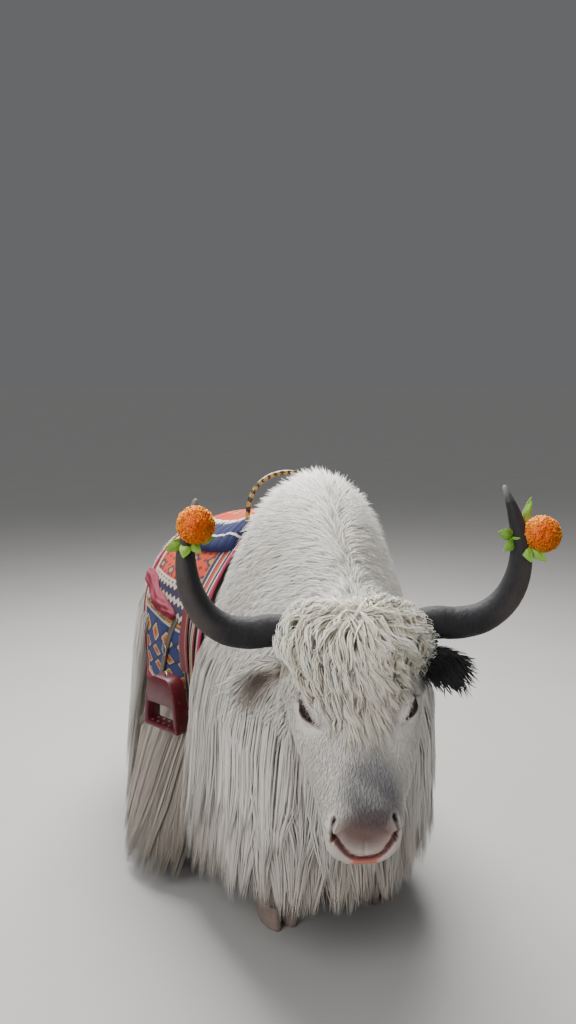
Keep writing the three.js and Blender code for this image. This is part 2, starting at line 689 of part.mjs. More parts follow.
// Locks that hang from the underside and the sides of the neck
const NECK_ROWS = [
  { at: 0.28, turns: [-142, -107, -73, -38], length: 215 },
  { at: 0.62, turns: [-138, -106, -74, -42], length: 175 },
];
function neckLock(at, turn, length, i) {
  const run = at * (NECK.length - 1);
  const [a, b] = [NECK[Math.floor(run)], NECK[Math.floor(run) + 1]];
  const mix = (key) => lerp(a[key], b[key], run % 1);
  const centre = floorPoint(a.centre).lerp(floorPoint(b.centre), run % 1);
  const yaw = radians(mix("turn"));
  const side = point(Math.cos(yaw), -Math.sin(yaw), 0);
  const surface = (degrees, lift) => centre.clone()
    .addScaledVector(side, (mix("half") + lift) * Math.cos(radians(degrees)))
    .add(point(0, 0, (mix("down") + lift) * Math.sin(radians(degrees))));
  const towards = turn > -90 ? -1 : 1;
  const hang = surface(turn + towards * 14, 8 + (i % 2) * STAGGER);
  const out = surface(turn, 1).sub(centre).setZ(0).add(point(0, 0, -20)).normalize();
  const points = [
    surface(turn, -ROOT_SINK),
    surface(turn + towards * 4, 7),
    hang,
    hang.clone().add(point(rand(-9, 9), rand(-9, 9), -length * 0.55)),
    hang.clone().add(point(rand(-18, 18), rand(-14, 14), -length * rand(0.9, 1.1))),
  ];
  return lock(points, points.map(() => out), rand(96, 116), 14);
}

function neckLocks() {
  return NECK_ROWS.flatMap(({ at, turns, length }) => {
    return turns.map((turn, i) => neckLock(at, turn, length, i));
  });
}

// The curly forelock: locks that fall from the crown over the brow and the temples
const CROWN = [0, 70, -45];
const CROWN_POLE = [0, 0.42, 0.91];
const CROWN_SHARES = [0, 0.2, 0.6, 1];
const ABOVE_EYE = { turn: 46, spread: 16, short: 26 };
const CROWN_ROWS = [
  { from: 6, to: 66, turns: [-154, -103, -52, 0, 52, 103, 154], width: 104, lift: 34 },
  { from: 38, to: 96, turns: [-100, -66, -33, 0, 33, 66, 100], width: 86, lift: 8 },
  { from: 66, to: 118, turns: [-34, -12, 12, 34], width: 46, lift: 4 },
];
function insideHead(p) {
  const { y, z, halfX, halfY, halfZ } = WOOL_DOME;
  if (point(p.x / halfX, (p.y - y) / halfY, (p.z - z) / halfZ).length() < 1) return true;
  if (p.y > HEAD[0].y || p.y < HEAD.at(-1).y) return false;
  const station = stationAt(HEAD, p.y);
  return Math.abs(p.x - station.mid) < halfWidthAt(station, p.z);
}

function crownLock({ from, to, width, lift }, turn, i) {
  const pole = floorPoint(CROWN_POLE).normalize();
  const forward = point(0, -pole.z, pole.y);
  const reachTo = (angle, heading, rise) => {
    const out = pole.clone().multiplyScalar(Math.cos(angle))
      .addScaledVector(forward, Math.sin(angle) * Math.cos(heading))
      .addScaledVector(point(1, 0, 0), Math.sin(angle) * Math.sin(heading));
    return floorPoint(CROWN).addScaledVector(out, reachOf(insideHead, floorPoint(CROWN), out) + rise);
  };
  const curl = rand(5, 9) * (i % 2 ? 1 : -1);
  const drift = rand(-4, 4);
  const overEye = to < 100 ? Math.exp(-(((Math.abs(turn) - ABOVE_EYE.turn) / ABOVE_EYE.spread) ** 2)) : 0;
  const end = to + rand(-4, 6) - ABOVE_EYE.short * overEye;
  const points = CROWN_SHARES.map((s) => {
    const angle = radians(lerp(from, end, s));
    const heading = radians((turn + drift) * (1 - 0.12 * s) + curl * Math.sin(s * 6));
    return reachTo(angle, heading, s === 0 ? -16 : lift + (i % 2) * 13 + 3 * Math.sin(s * 7 + i));
  });
  const outs = points.map((p) => p.clone().sub(floorPoint(CROWN)).normalize());
  return lock(points, outs, width * rand(0.88, 1.12), 14);
}

function crownLocks() {
  return CROWN_ROWS.flatMap((row) => row.turns.map((turn, i) => crownLock(row, turn, i)));
}

// Locks that hang from the tail's core in three rings
const TAIL_ROWS = [
  { z: 850, count: 5, tip: 520 }, { z: 740, count: 5, tip: 380 }, { z: 610, count: 5, tip: TAIL_TIP },
];
function tailLocks() {
  const centreAt = (z) => {
    const i = Math.max(1, TAIL.findIndex((station) => station.z <= z));
    const [a, b] = [TAIL[i - 1], TAIL[i]];
    const t = THREE.MathUtils.clamp((a.z - z) / (a.z - b.z), 0, 1);
    return { y: lerp(a.y, b.y, t), radius: lerp(a.radius, b.radius, t) };
  };
  return TAIL_ROWS.flatMap(({ z, count, tip }, row) => steps(count - 1, 0, count - 1).map((i) => {
    const angle = (2 * Math.PI * (i + row / 2)) / count;
    const out = point(Math.cos(angle), Math.sin(angle), 0);
    const end = tip + rand(-25, 25);
    const points = LOCK_SHARES.map((s) => {
      const level = lerp(z, end, s);
      const { y, radius } = centreAt(Math.max(level, TAIL.at(-1).z));
      const narrow = Math.max(0, (TAIL.at(-1).z - level) / 330);
      const rise = s === 0 ? -16 : 4 + (2 - row) * 12 * Math.min(1, s * 2) + (i % 2) * 12;
      return point(0, y, level).addScaledVector(out, radius * (1 - 0.55 * narrow) + rise);
    });
    return lock(points, points.map(() => out), rand(64, 76), 11);
  }));
}

// Long hair along the lower rim of an ear
function earLocks() {
  return [2, 3, 4, 5].map((i) => {
    const root = earPoint(i, 6 - EAR_RIM, EAR.wall / 2);
    const spread = EAR_SHARES[i];
    const points = [0, 0.3, 0.65, 1].map((s) => {
      const fall = point(lerp(2, 38, spread * spread) * s, 6 * s, -lerp(46, 34, spread) * s);
      return root.clone().add(fall).add(point(0, 0, s === 0 ? 7 : 0));
    });
    return lock(points, points.map(() => point(0, -1, 0)), 27, 6);
  });
}

// A point over the back: share runs from the front edge of the rug to its rear edge, turn from its
// hem on the right (-1) over the spine (0) to its hem on the left (1)
const HANGING_SHARE = 0.3;
const hanging = (turn) => Math.max(0, 1 - (1 - Math.abs(turn)) / HANGING_SHARE);
function rugPoint(share, turn, lift) {
  const over = 1 - Math.abs(turn);
  const drop = hanging(turn);
  const y = lerp(RUG.front, lerp(RUG.rear, RUG.rearHem, drop), share);
  const { top, half, wide, round } = stationAt(TRUNK, y);
  const side = turn < 0 ? -1 : 1;
  if (drop > 0) return point(side * (half + lift), y, lerp(wide, RUG.hem, drop));
  const angle = (((over - HANGING_SHARE) / (1 - HANGING_SHARE)) * Math.PI) / 2;
  const x = (half + lift) * Math.cos(angle) ** (2 / round);
  return point(side * x, y, wide + (top - wide + lift) * Math.sin(angle) ** (2 / round));
}

function rugSolid() {
  const grid = (lift) => steps(5, 0, 1).map((share) => {
    return steps(20, -1, 1).map((turn) => rugPoint(share, turn, lift(turn)));
  });
  return plate(grid(() => RUG.thick), grid((turn) => lerp(-RUG.sink, -2, hanging(turn))));
}

// The riding pad: thickest along the spine, raised a little at its front and rear
function padSolid() {
  const { front, rear, reach, thick } = PAD;
  const span = RUG.rear - RUG.front;
  const along = 9;
  const shares = steps(along, (front - RUG.front) / span, (rear - RUG.front) / span);
  const grid = (lift) => shares.map((share, i) => {
    return steps(10, -reach, reach).map((turn) => rugPoint(share, turn, RUG.thick + lift(turn, i)));
  });
  const swell = (turn, i) => {
    const end = Math.min(1, 0.35 + Math.min(i, along - i) * 0.45);
    const rise = 1 + 0.35 * (2 * i / along - 1) ** 2;
    return thick * rise * end * Math.sqrt(1.05 - (turn / reach) ** 4);
  };
  return plate(grid(swell), grid(() => -6));
}

function hoopSolid() {
  const points = steps(14, 0, Math.PI).map((angle) => {
    const rise = (HOOP.top - HOOP.foot) * Math.sin(angle) ** 0.7;
    return point(HOOP.halfWidth * Math.cos(angle), HOOP.y, HOOP.foot + rise);
  });
  return rod(points, points.map(() => HOOP.radius), 6);
}

// A point on the flank over the rug, at one level
function flankPoint(side, y, z, lift) {
  const station = stationAt(TRUNK, y);
  const half = z < station.wide ? station.half : halfWidthAt(station, z);
  return point(side * (half + RUG.thick + lift), y, z);
}

// A flat strap along points that lie against the flank, each a place along the body, a level and how
// far it stands off the rug
function strap(side, route, width, thick) {
  const points = route.map(([y, z, lift]) => flankPoint(side, y, z, lift));
  return loft(points.map((centre, i) => {
    const along = alongPath(points, i);
    const across = along.clone().cross(point(side, 0, 0)).normalize();
    const out = across.clone().cross(along).normalize();
    const corner = (a, b) => centre.clone().addScaledVector(across, a).addScaledVector(out, b);
    return [
      corner(-width / 2, -thick), corner(width / 2, -thick),
      corner(width / 2, thick), corner(-width / 2, thick),
    ];
  }));
}

// The straight route of a strap, which leaves the rug's hem over the swell of the coat
function route({ from, to, lift }, count) {
  return steps(count, 0, 1).map((t) => {
    const level = lerp(from[1], to[1], t);
    const below = Math.max(0, (RUG.hem - level) / 130);
    return [lerp(from[0], to[0], t), level, lift + COAT_SWELL * below ** 1.3];
  });
}

// A broad wooden stirrup with a straight tread, hanging flat against the flank
function stirrup(side) {
  const { y, z, width, height, depth, rim, window } = STIRRUP;
  const outline = new THREE.Shape();
  const [half, low, high] = [width / 2, -height / 2, height / 2];
  outline.moveTo(-half, low);
  outline.lineTo(half, low);
  outline.lineTo(half * 0.92, low + height * 0.45);
  outline.quadraticCurveTo(half * 0.8, high, half * 0.3, high);
  outline.lineTo(-half * 0.3, high);
  outline.quadraticCurveTo(-half * 0.8, high, -half * 0.92, low + height * 0.45);
  const opening = new THREE.Path();
  opening.moveTo(-half + rim, low + rim);
  opening.lineTo(half - rim, low + rim);
  opening.lineTo(half * 0.92 - rim, low + rim + window);
  opening.lineTo(-half * 0.92 + rim, low + rim + window);
  outline.holes.push(opening);
  const plate = new THREE.ExtrudeGeometry(outline, { depth, bevelEnabled: false, curveSegments: 6 });
  const turn = new THREE.Matrix4().makeBasis(point(0, 1, 0), point(0, 0, 1), point(side, 0, 0));
  const against = flankPoint(side, y, z, STIRRUP.lift);
  plate.applyMatrix4(turn.setPosition(against));
  return solidFrom(plate);
}

function sashSolid() {
  const route = [[698, 942], [640, 925], [570, 902], [500, 880], [430, 866], [368, 852]];
  const radii = [16, 30, 24, 31, 27, 15];
  return rod(route.map(([y, z]) => flankPoint(-1, y, z, 22)), radii, 10);
}

// A marigold: a ball of short petals
const FLOWER_RADIUS = 43;
function flower(centre) {
  const ball = pointsOf(ellipsoid([0, 0, 0], FLOWER_RADIUS, FLOWER_RADIUS, FLOWER_RADIUS, 2));
  const petals = ball.points.map((p, i) => p.multiplyScalar(i % 3 ? 1 : 0.93).add(floorPoint(centre)));
  return solidOf(petals, ball.triangles);
}

// A leaf of its own length and turn, growing from a point
function leaf(from, towards, length, width) {
  const along = floorPoint(towards).normalize();
  const across = along.clone().cross(point(0, 1, 0)).normalize();
  const out = across.clone().cross(along).normalize();
  const shares = [0, 0.3, 0.65, 1];
  const widths = [0.15, 0.95, 0.9, 0.08];
  return loft(shares.map((share, i) => {
    const bow = 6 * Math.sin(share * Math.PI);
    const centre = floorPoint(from).addScaledVector(along, length * share).addScaledVector(out, -bow);
    const half = (width / 2) * widths[i];
    return [
      centre.clone().addScaledVector(across, -half),
      centre.clone().addScaledVector(out, 1.2),
      centre.clone().addScaledVector(across, half),
      centre.clone().addScaledVector(out, -1.2),
    ];
  }));
}

// Leaves on a tie round the horn, under the flower
function spray(tie, leaves) {
  const ring = new THREE.TorusGeometry(tie.radius, 3.5, 5, 10);
  ring.translate(...tie.at);
  const blades = leaves.map(({ towards, length, width }) => {
    const start = floorPoint(tie.at).addScaledVector(floorPoint(towards).normalize(), tie.radius - 2);
    return leaf(start.toArray(), towards, length, width);
  });
  return united([solidFrom(ring), ...blades]);
}

const SPRAY_RIGHT = {
  tie: { at: [-354, 90, 368], radius: 17 },
  leaves: [
    { towards: [-0.9, -0.7, -0.35], length: 46, width: 24 },
    { towards: [-0.2, -1, -0.75], length: 42, width: 24 },
    { towards: [0.9, -0.7, 0.1], length: 60, width: 28 },
    { towards: [0.6, -0.9, -0.5], length: 44, width: 22 },
  ],
};
const SPRAY_LEFT = {
  tie: { at: [377, 84, 338], radius: 20 },
  leaves: [
    { towards: [-1, -0.5, 0.35], length: 44, width: 24 },
    { towards: [-0.8, -0.6, -0.4], length: 40, width: 22 },
    { towards: [0.75, -0.6, -0.75], length: 62, width: 26 },
    { towards: [0.25, -0.7, -0.8], length: 48, width: 22 },
    { towards: [0.55, 0.75, 0.9], length: 96, width: 20 },
  ],
};
const FLOWER_AT = { right: [-332, 44, 404], left: [425, 70, 345] };

// What is left of a solid round others, with the gap that touching pieces keep. A node with locks is
// given as its parts, which are grown one by one.
function clearOf(solid, others, gap) {
  return others.reduce((rest, other) => rest.subtract(swollen(other, gap)), solid);
}

const clearOfLocks = (solid, locks) => clearOf(solid, locks, 5 * GAP);

function build() {
  const face = headPlace(HEAD_PITCH);
  const level = headPlace(0);
  const sides = { left: 1, right: -1 };
  const mirrored = (solid, side) => (side > 0 ? solid : moved(solid, mirrorX));

  const trunkCore = trunk();
  const flesh = trunkCore.add(neckCore());
  const ruff = neckLocks();
  const brush = tailLocks();
  const headWhole = moved(headSolid(), face).add(neckCore());
  const headCut = onSide(headWhole, HEAD_CUT.at, HEAD_CUT.normal);
  const wool = united(crownLocks().map((solid) => moved(solid, face)));
  const neckFlesh = onSide(flesh, [0, NECK_CUT_Y, 0], [0, -1, 0]);
  const shoulder = onSide(trunkCore, [0, NECK_CUT_Y, 0], [0, -1, 0]);
  const bareTorso = onSide(trunkCore, [0, NECK_CUT_Y, 0], [0, 1, 0]);
  const ruffed = united([neckFlesh, clearOf(united(ruff), [bareTorso])]);
  const neck = onSide(ruffed, HEAD_CUT.at, opposite(HEAD_CUT.normal));
  addNode("neck", neck, whiteCoat);

  const rug = clearOf(rugSolid(), [trunkCore]);
  const pad = clearOf(padSolid(), [rug, trunkCore]);
  addNode("saddle_rug", rug, rugCloth);
  addNode("saddle_pad", pad, padCloth);
  addNode("saddle_hoop", clearOf(hoopSolid(), [pad, rug]), hoopLacquer);
  const sash = clearOf(sashSolid(), [rug, trunkCore]);
  addNode("sash", sash, sashCloth);

  addNode("tail", clearOf(united([tailCore(), ...brush]), [trunkCore]), whiteCoat);
  const headgear = [];
  const fringes = [];

  for (const [name, side] of Object.entries(sides)) {
    const hornRoot = moved(horn(side), level);
    const hornNode = clearOf(hornRoot, [headCut]);
    addNode(`horn_${name}`, hornNode, hornBlack);
    const [bareEar, ...fringe] = [ear(), ...earLocks()].map((one) => moved(mirrored(one, side), level));
    const earNode = clearOf(united([bareEar, ...fringe]), [headCut, hornNode]);
    addNode(`ear_${name}`, earNode, side > 0 ? blackHair : whiteCoat);
    headgear.push(hornRoot, bareEar);
    fringes.push(...fringe);
    const eyeball = ellipsoid([side * EYE.x, EYE.y, EYE.z], EYE.radius, EYE.radius, EYE.radius, 2);
    addNode(`eye_${name}`, moved(eyeball, face), eyeDark);
    headgear.push(moved(eyeball, face));

    const { tie, leaves } = side > 0 ? SPRAY_LEFT : SPRAY_RIGHT;
    const leafy = clearOf(moved(spray(tie, leaves), level), [hornNode]);
    const ball = clearOf(moved(flower(FLOWER_AT[name]), level), [hornNode, leafy]);
    addNode(`leaves_${name}`, leafy, leafGreen);
    addNode(`flower_${name}`, ball, petalOrange);

    const legs = { front: [LEG_FRONT, LEG_FRONT_Y], hind: [LEG_HIND, LEG_HIND_Y] };
    const below = [];
    for (const [end, [stations, y]] of Object.entries(legs)) {
      const foot = [side * LEG_X, y + stations.at(-1).y];
      const hoofNode = hoof(foot);
      const legNode = clearOf(leg(stations, [side * LEG_X, y]), [trunkCore, hoofNode]);
      addNode(`leg_${end}_${name}`, legNode, whiteCoat);
      addNode(`hoof_${end}_${name}`, hoofNode, hoofHorn);
      below.push(leg(stations, [side * LEG_X, y]), hoofNode);
    }

    const girth = strap(side, route(GIRTH, 6), GIRTH.width, GIRTH.thick);
    const fender = strap(side, route(FENDER, 5), FENDER.width, FENDER.thick);
    const leather = strap(side, route(LEATHER, 8), LEATHER.width, LEATHER.thick);
    const iron = clearOf(stirrup(side), [rug, trunkCore]);
    const fenderNode = clearOf(fender, [rug, trunkCore, iron]);
    addNode(`stirrup_${name}`, iron, stirrupRed);
    addNode(`fender_${name}`, side > 0 ? fenderNode : clearOf(fenderNode, [sash]), fenderMaroon);
    addNode(`girth_${name}`, clearOf(girth, [rug, trunkCore, fenderNode]), girthWeb);
    const leatherNode = clearOf(leather, [rug, trunkCore, iron, fenderNode]);
    addNode(`strap_${name}`, side > 0 ? leatherNode : clearOf(leatherNode, [sash]), strapLeather);

    const hungOver = [shoulder, neckCore(), tailCore(), stirrup(side), girth, fender, leather];
    const locks = skirtLocks(side, [...hungOver, ...below], [rugSolid(), ...ruff, ...brush]);
    const torso = united([bareTorso, locks]);
    const half = onSide(torso, [0, 0, 0], [side, 0, 0]);
    addNode(`torso_front_${name}`, onSide(half, [0, MID_CUT_Y, 0], [0, -1, 0]), whiteCoat);
    addNode(`torso_rear_${name}`, onSide(half, [0, MID_CUT_Y, 0], [0, 1, 0]), whiteCoat);
  }
  const locks = clearOfLocks(clearOf(wool, headgear), fringes);
  addNode("head", onSide(united([headWhole, locks]), HEAD_CUT.at, HEAD_CUT.normal), whiteCoat);
}

build();
yak.position.set(-BOX_CENTRE[0], -BOX_CENTRE[1], 0);
export default yak;
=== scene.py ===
"""A white domestic yak standing with its head lowered, dressed for visitors, as a still model."""

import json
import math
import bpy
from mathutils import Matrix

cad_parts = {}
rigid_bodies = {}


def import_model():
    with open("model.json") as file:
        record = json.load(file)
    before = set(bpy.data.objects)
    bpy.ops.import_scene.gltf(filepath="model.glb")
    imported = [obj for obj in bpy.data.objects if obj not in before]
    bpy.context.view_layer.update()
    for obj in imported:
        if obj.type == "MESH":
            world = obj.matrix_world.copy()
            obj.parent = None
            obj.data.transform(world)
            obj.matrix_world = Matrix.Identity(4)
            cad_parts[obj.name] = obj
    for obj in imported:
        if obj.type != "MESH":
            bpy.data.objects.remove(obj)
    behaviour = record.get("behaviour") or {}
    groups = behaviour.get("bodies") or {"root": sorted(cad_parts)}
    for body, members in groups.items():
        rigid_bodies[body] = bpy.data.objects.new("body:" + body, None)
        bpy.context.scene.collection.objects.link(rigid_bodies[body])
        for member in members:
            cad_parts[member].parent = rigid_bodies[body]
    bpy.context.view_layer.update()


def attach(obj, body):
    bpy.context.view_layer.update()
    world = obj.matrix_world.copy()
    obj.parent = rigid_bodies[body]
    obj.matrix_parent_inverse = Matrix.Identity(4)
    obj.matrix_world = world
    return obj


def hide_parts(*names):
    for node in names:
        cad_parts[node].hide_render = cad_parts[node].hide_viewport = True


bl_info = {
    "name": "White saddle yak",
    "version": (1, 0, 0),
    "blender": (4, 5, 0),
    "location": "View3D > Sidebar > Yak",
    "description": "Builds the yak, its coat, its rug and saddle and its flowers round the packed solids",
    "category": "Object",
}

from functools import cache, partial

import bmesh
import bpy
import numpy as np
from bpy.props import FloatProperty, FloatVectorProperty, IntProperty, PointerProperty
from mathutils import Matrix, Vector
from mathutils.kdtree import KDTree

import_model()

# Shapes are worked out in millimetres from the floor point under the top of the hump, with the yak
# facing -Y, and are put into the frame's metres when they are finished.
SHIFT = Vector((81, -225, 0))
INTO_FRAME = Matrix.Scale(0.001, 4) @ Matrix.Translation(SHIFT)

# Trunk stations: y, sideways bend, top line, belly, half width, widest level, roundness above it
TRUNK = np.array([
    (-400, -102, 1065, 650, 178, 850, 1.8),
    (-330, -80, 1118, 565, 222, 820, 1.6),
    (-200, -45, 1235, 480, 278, 785, 1.5),
    (-100, -20, 1306, 450, 300, 765, 1.55),
    (0, -4, 1340, 440, 315, 755, 1.7),
    (100, 0, 1315, 435, 322, 750, 1.75),
    (220, 0, 1185, 430, 308, 740, 1.8),
    (500, 0, 1110, 440, 345, 735, 2.2),
    (800, 0, 1100, 480, 325, 750, 2.2),
    (1000, 0, 1030, 560, 248, 770, 2.0),
    (1120, 0, 880, 680, 120, 790, 2.0),
], float)
BELLY_ROUNDNESS = 2.7

# Where the head is held, and how far the eyes look forward from straight sideways, in degrees
EYE_LINE = (-259, -724, 927)
EYE_FORWARD = 50
HEAD_PITCH = 60
HEAD_YAW = 21.7
HEAD_ROLL = 2.2
# Head stations in its own frame, from the poll to the lips
HEAD = np.array([
    (205, 0, -20, -110, 75, -60, 2.0),
    (170, 0, 20, -150, 125, -60, 2.2),
    (110, 0, 42, -175, 150, -60, 2.4),
    (30, 0, 46, -195, 155, -75, 2.3),
    (-60, 0, 36, -182, 140, -70, 2.2),
    (-140, 0, 26, -150, 116, -60, 2.2),
    (-210, -5, 20, -124, 93, -50, 2.3),
    (-240, -6, 9, -119, 88, -53, 2.4),
    (-267, -6, -14, -117, 86, -60, 2.5),
    (-292, -6, -41, -114, 80, -72, 2.5),
    (-310, -6, -64, -108, 60, -85, 2.3),
    (-320, -6, -76, -100, 36, -88, 2.2),
], float)
WOOL_DOME = {"centre": (0, 112, -34), "half": (160, 94, 98)}
EYE = {"x": 104, "y": -10, "z": 0, "radius": 21, "length": 52, "height": 16, "tilt": 34}
NOSTRIL = {"x": 66, "y": -243, "z": -9, "middle": -5}
MOUTH = {"z": -84, "corner": -222, "middle": -4}

# Neck stations: centre, turn, half width, reach up and reach down
NECK = np.array([
    (-60, -310, 860, 12, 200, 235, 270),
    (-100, -400, 862, 17, 178, 205, 222),
    (-140, -480, 872, 20, 162, 190, 190),
    (-178, -560, 880, 22, 144, 168, 160),
    (-208, -640, 880, 22, 120, 125, 125),
], float)
HEAD_CUT = {"at": (-192, -568, 885), "normal": (-0.4, -0.9, -0.15)}

HORN = np.array([
    (100, 88, 132, 33), (180, 90, 150, 34), (240, 88, 148, 33), (297, 82, 161, 31), (344, 76, 199, 28.5),
    (372, 74, 256, 25), (380, 80, 322, 20.5), (370, 92, 385, 14), (352, 108, 448, 5),
], float)
HORN_RIGHT_SHARE = 0.95
EAR = {"root": (132, 52, 70), "tip": (246, 62, 46), "width": 88, "cup": 28, "wall": 7}
EAR_SHARES = (0, 0.12, 0.28, 0.45, 0.62, 0.78, 0.9, 1)
EAR_WIDTHS = (0.42, 0.66, 0.9, 1, 0.95, 0.76, 0.5, 0.16)

LEG_X = 165
LEG_FRONT_Y = -45
LEG_HIND_Y = 830
# Leg stations: level, place along the body, half width and half depth
LEG_FRONT = np.array([
    (640, 0, 75, 105), (480, 0, 66, 84), (330, -4, 50, 56), (220, 2, 41, 46), (120, 4, 44, 52),
    (66, -6, 50, 58),
], float)
LEG_HIND = np.array([
    (690, -40, 82, 140), (520, -10, 68, 108), (400, 48, 48, 66), (240, 42, 40, 48), (120, 22, 44, 52),
    (66, 8, 49, 57),
], float)
HOOF_TOP = 66
HOOF = {"half_x": 53, "half_y": 66, "forward": 10, "slit": 7}
TAIL = np.array([(1080, 930, 40), (1160, 905, 44), (1215, 830, 46), (1240, 700, 50), (1248, 560, 44)], float)
TAIL_TIP = 250

# The line that the long coat hangs from: straight along the body, with a rounded end at the breast and tail
COAT_FRONT_Y = -70
COAT_REAR_Y = 790
COAT_RADIUS = 330
# The hem of the long coat: share of the way round, level of the hem and how it flares
COAT_HEM = np.array([
    (0, 195, 0.02), (0.15, 200, 0.06), (0.25, 175, 0.09), (0.33, 122, 0.10), (0.385, 150, 0.13),
    (0.415, 30, 0.22), (0.441, 6, 0.27), (0.49, 4, 0.32), (0.53, 4, 0.29), (0.574, 8, 0.25), (0.627, 12, 0.21),
    (0.68, 20, 0.13), (0.8, 30, 0.07), (1, 110, 0.03),
], float)

RUG = {"front": 208, "rear": 720, "rear_hem": 640, "hem": 560, "thick": 12, "width": 500}
# How far the body's coat reaches under the rug's edges
RUG_MARGIN = 18
# Share of the rug, from its hem, that hangs straight down
HANGING_SHARE = 0.3
PAD = {"front": 240, "rear": 590, "reach": 0.3, "thick": 42}
HOOP = {"y": 252, "half_width": 130, "foot": 1165, "top": 1322, "radius": 7.5}
STIRRUP = {"y": 300, "z": 600, "width": 160, "height": 172, "depth": 56, "rim": 16, "window": 66, "lift": 12,
           "turn": 24, "proud": 26}
GIRTH = {"from": (262, 930), "to": (236, 520), "lift": 2, "width": 30, "thick": 3.5}
FENDER = {"from": (335, 915), "to": (300, 690), "lift": 2, "width": 78, "thick": 4}
LEATHER = {"from": (372, 850), "to": (575, 430), "lift": 3, "width": 26, "thick": 4}
# The sash: places along the body, levels and radii, from its rear end
SASH = np.array([
    (698, 942, 11), (640, 925, 24), (570, 902, 18), (500, 880, 25), (430, 866, 21), (368, 852, 11),
], float)
STRAP_STEPS = 64
COAT_SWELL = 50
FLOWER_AT = {"right": (-332, 44, 404), "left": (425, 70, 345)}
SPRAYS = {
    "right": {"at": (-354, 90, 368), "radius": 17, "leaves": [
        ((-0.9, -0.7, -0.35), 46, 24), ((-0.2, -1, -0.75), 42, 24),
        ((0.9, -0.7, 0.1), 60, 28), ((0.6, -0.9, -0.5), 44, 22),
    ]},
    "left": {"at": (377, 84, 338), "radius": 20, "leaves": [
        ((-1, -0.5, 0.35), 44, 24), ((-0.8, -0.6, -0.4), 40, 22), ((0.75, -0.6, -0.75), 62, 26),
        ((0.25, -0.7, -0.8), 48, 22), ((0.55, 0.75, 0.9), 96, 20),
    ]},
}
SIDES = {"left": 1, "right": -1}
UP = np.array((0.0, 0.0, 1.0))


# Shapes shared with the solids

def smooth_between(stations, at):
    """The other columns of a row of stations at places between them, as smooth curves"""
    rows = stations if stations[-1, 0] > stations[0, 0] else stations[::-1]
    places, values = rows[:, 0], rows[:, 1:]
    at = np.clip(np.asarray(at, float), places[0], places[-1])
    i = np.clip(np.searchsorted(places, at, side="right") - 1, 0, len(rows) - 2)
    before = np.maximum(np.arange(len(rows)) - 1, 0)
    after = np.minimum(np.arange(len(rows)) + 1, len(rows) - 1)
    slopes = (values[after] - values[before]) / (places[after] - places[before])[:, None]
    span = (places[i + 1] - places[i])[..., None]
    t = (at - places[i])[..., None] / span
    a, b = values[i], values[i + 1]
    cubic = 2 * (a - b) + span * (slopes[i] + slopes[i + 1])
    square = 3 * (b - a) - span * (2 * slopes[i] + slopes[i + 1])
    return np.moveaxis(((cubic * t + square) * t + span * slopes[i]) * t + a, -1, 0)


def section_points(stations, y, angle, grow):
    """Points of a body section: rounded above its widest level and rounder below"""
    mid, top, belly, half, wide, roundness = smooth_between(stations, y)
    c, s = np.cos(angle), np.sin(angle)
    power = 2 / np.where(s > 0, roundness, BELLY_ROUNDNESS)
    height = np.where(s > 0, top - wide, wide - belly)
    x = mid + (half + grow) * np.sign(c) * np.abs(c) ** power
    z = wide + (height + grow) * np.sign(s) * np.abs(s) ** power
    return np.stack([x, np.broadcast_to(y, x.shape), z], -1)


def half_width_at(stations, y, z):
    """Half width of a section at one level, and its sideways bend"""
    mid, top, belly, half, wide, roundness = smooth_between(stations, y)
    above = z > wide
    power = np.where(above, roundness, BELLY_ROUNDNESS)
    height = np.where(above, top - wide, wide - belly)
    t = np.clip(np.abs(z - wide) / height, 0, 1)
    return half * (1 - t ** power) ** (1 / power), mid


def unit(vectors):
    return vectors / np.maximum(np.linalg.norm(vectors, axis=-1, keepdims=True), 1e-9)


def head_place(pitch):
    """The pose of the head, or with no pitch the level frame of the horns and the ears"""
    turn = Matrix.Rotation(-math.radians(HEAD_YAW), 4, "Z")
    turn = turn @ Matrix.Rotation(-math.radians(HEAD_ROLL), 4, "Y") @ Matrix.Rotation(math.radians(pitch), 4, "X")
    return Matrix.Translation(EYE_LINE) @ turn


FACE = np.array(head_place(HEAD_PITCH))
LEVEL = np.array(head_place(0))
EAR_BACK = unit(np.array((0.12, 0.86, 0.5)))


def placed(matrix, points):
    """Points of the head's frame, taken to the yak's"""
    return np.asarray(points, float) @ matrix[:3, :3].T + matrix[:3, 3]


def taken_back(matrix, points):
    """Points of the yak's frame, taken to the head's"""
    return (np.asarray(points, float) - matrix[:3, 3]) @ matrix[:3, :3]


def eye_at(side):
    """The middle of an eye, in the head's frame"""
    return np.array((side * EYE["x"], EYE["y"], EYE["z"]), float)


def nostril_at(side):
    """The middle of a nostril, in the head's frame"""
    return np.array((NOSTRIL["middle"] + side * NOSTRIL["x"], NOSTRIL["y"], NOSTRIL["z"]), float)


def reach_of(within, count, far):
    """How far a shape reaches in some directions, found by halving with a test for distances within it"""
    inside, outside = np.zeros(count), np.full(count, far)
    for _ in range(13):
        middle = (inside + outside) / 2
        now = within(middle)
        inside, outside = np.where(now, middle, inside), np.where(now, outside, middle)
    return inside


def trunk_reach(y, out, z):
    """How far the trunk reaches from its middle line at one level, along one direction"""
    def within(distance):
        px, py = out[:, 0] * distance, y + out[:, 1] * distance
        half, mid = half_width_at(TRUNK, py, z)
        return (np.abs(px - mid) < half) & (py > TRUNK[0, 0]) & (py < TRUNK[-1, 0])

    return reach_of(within, len(y), 700.0)


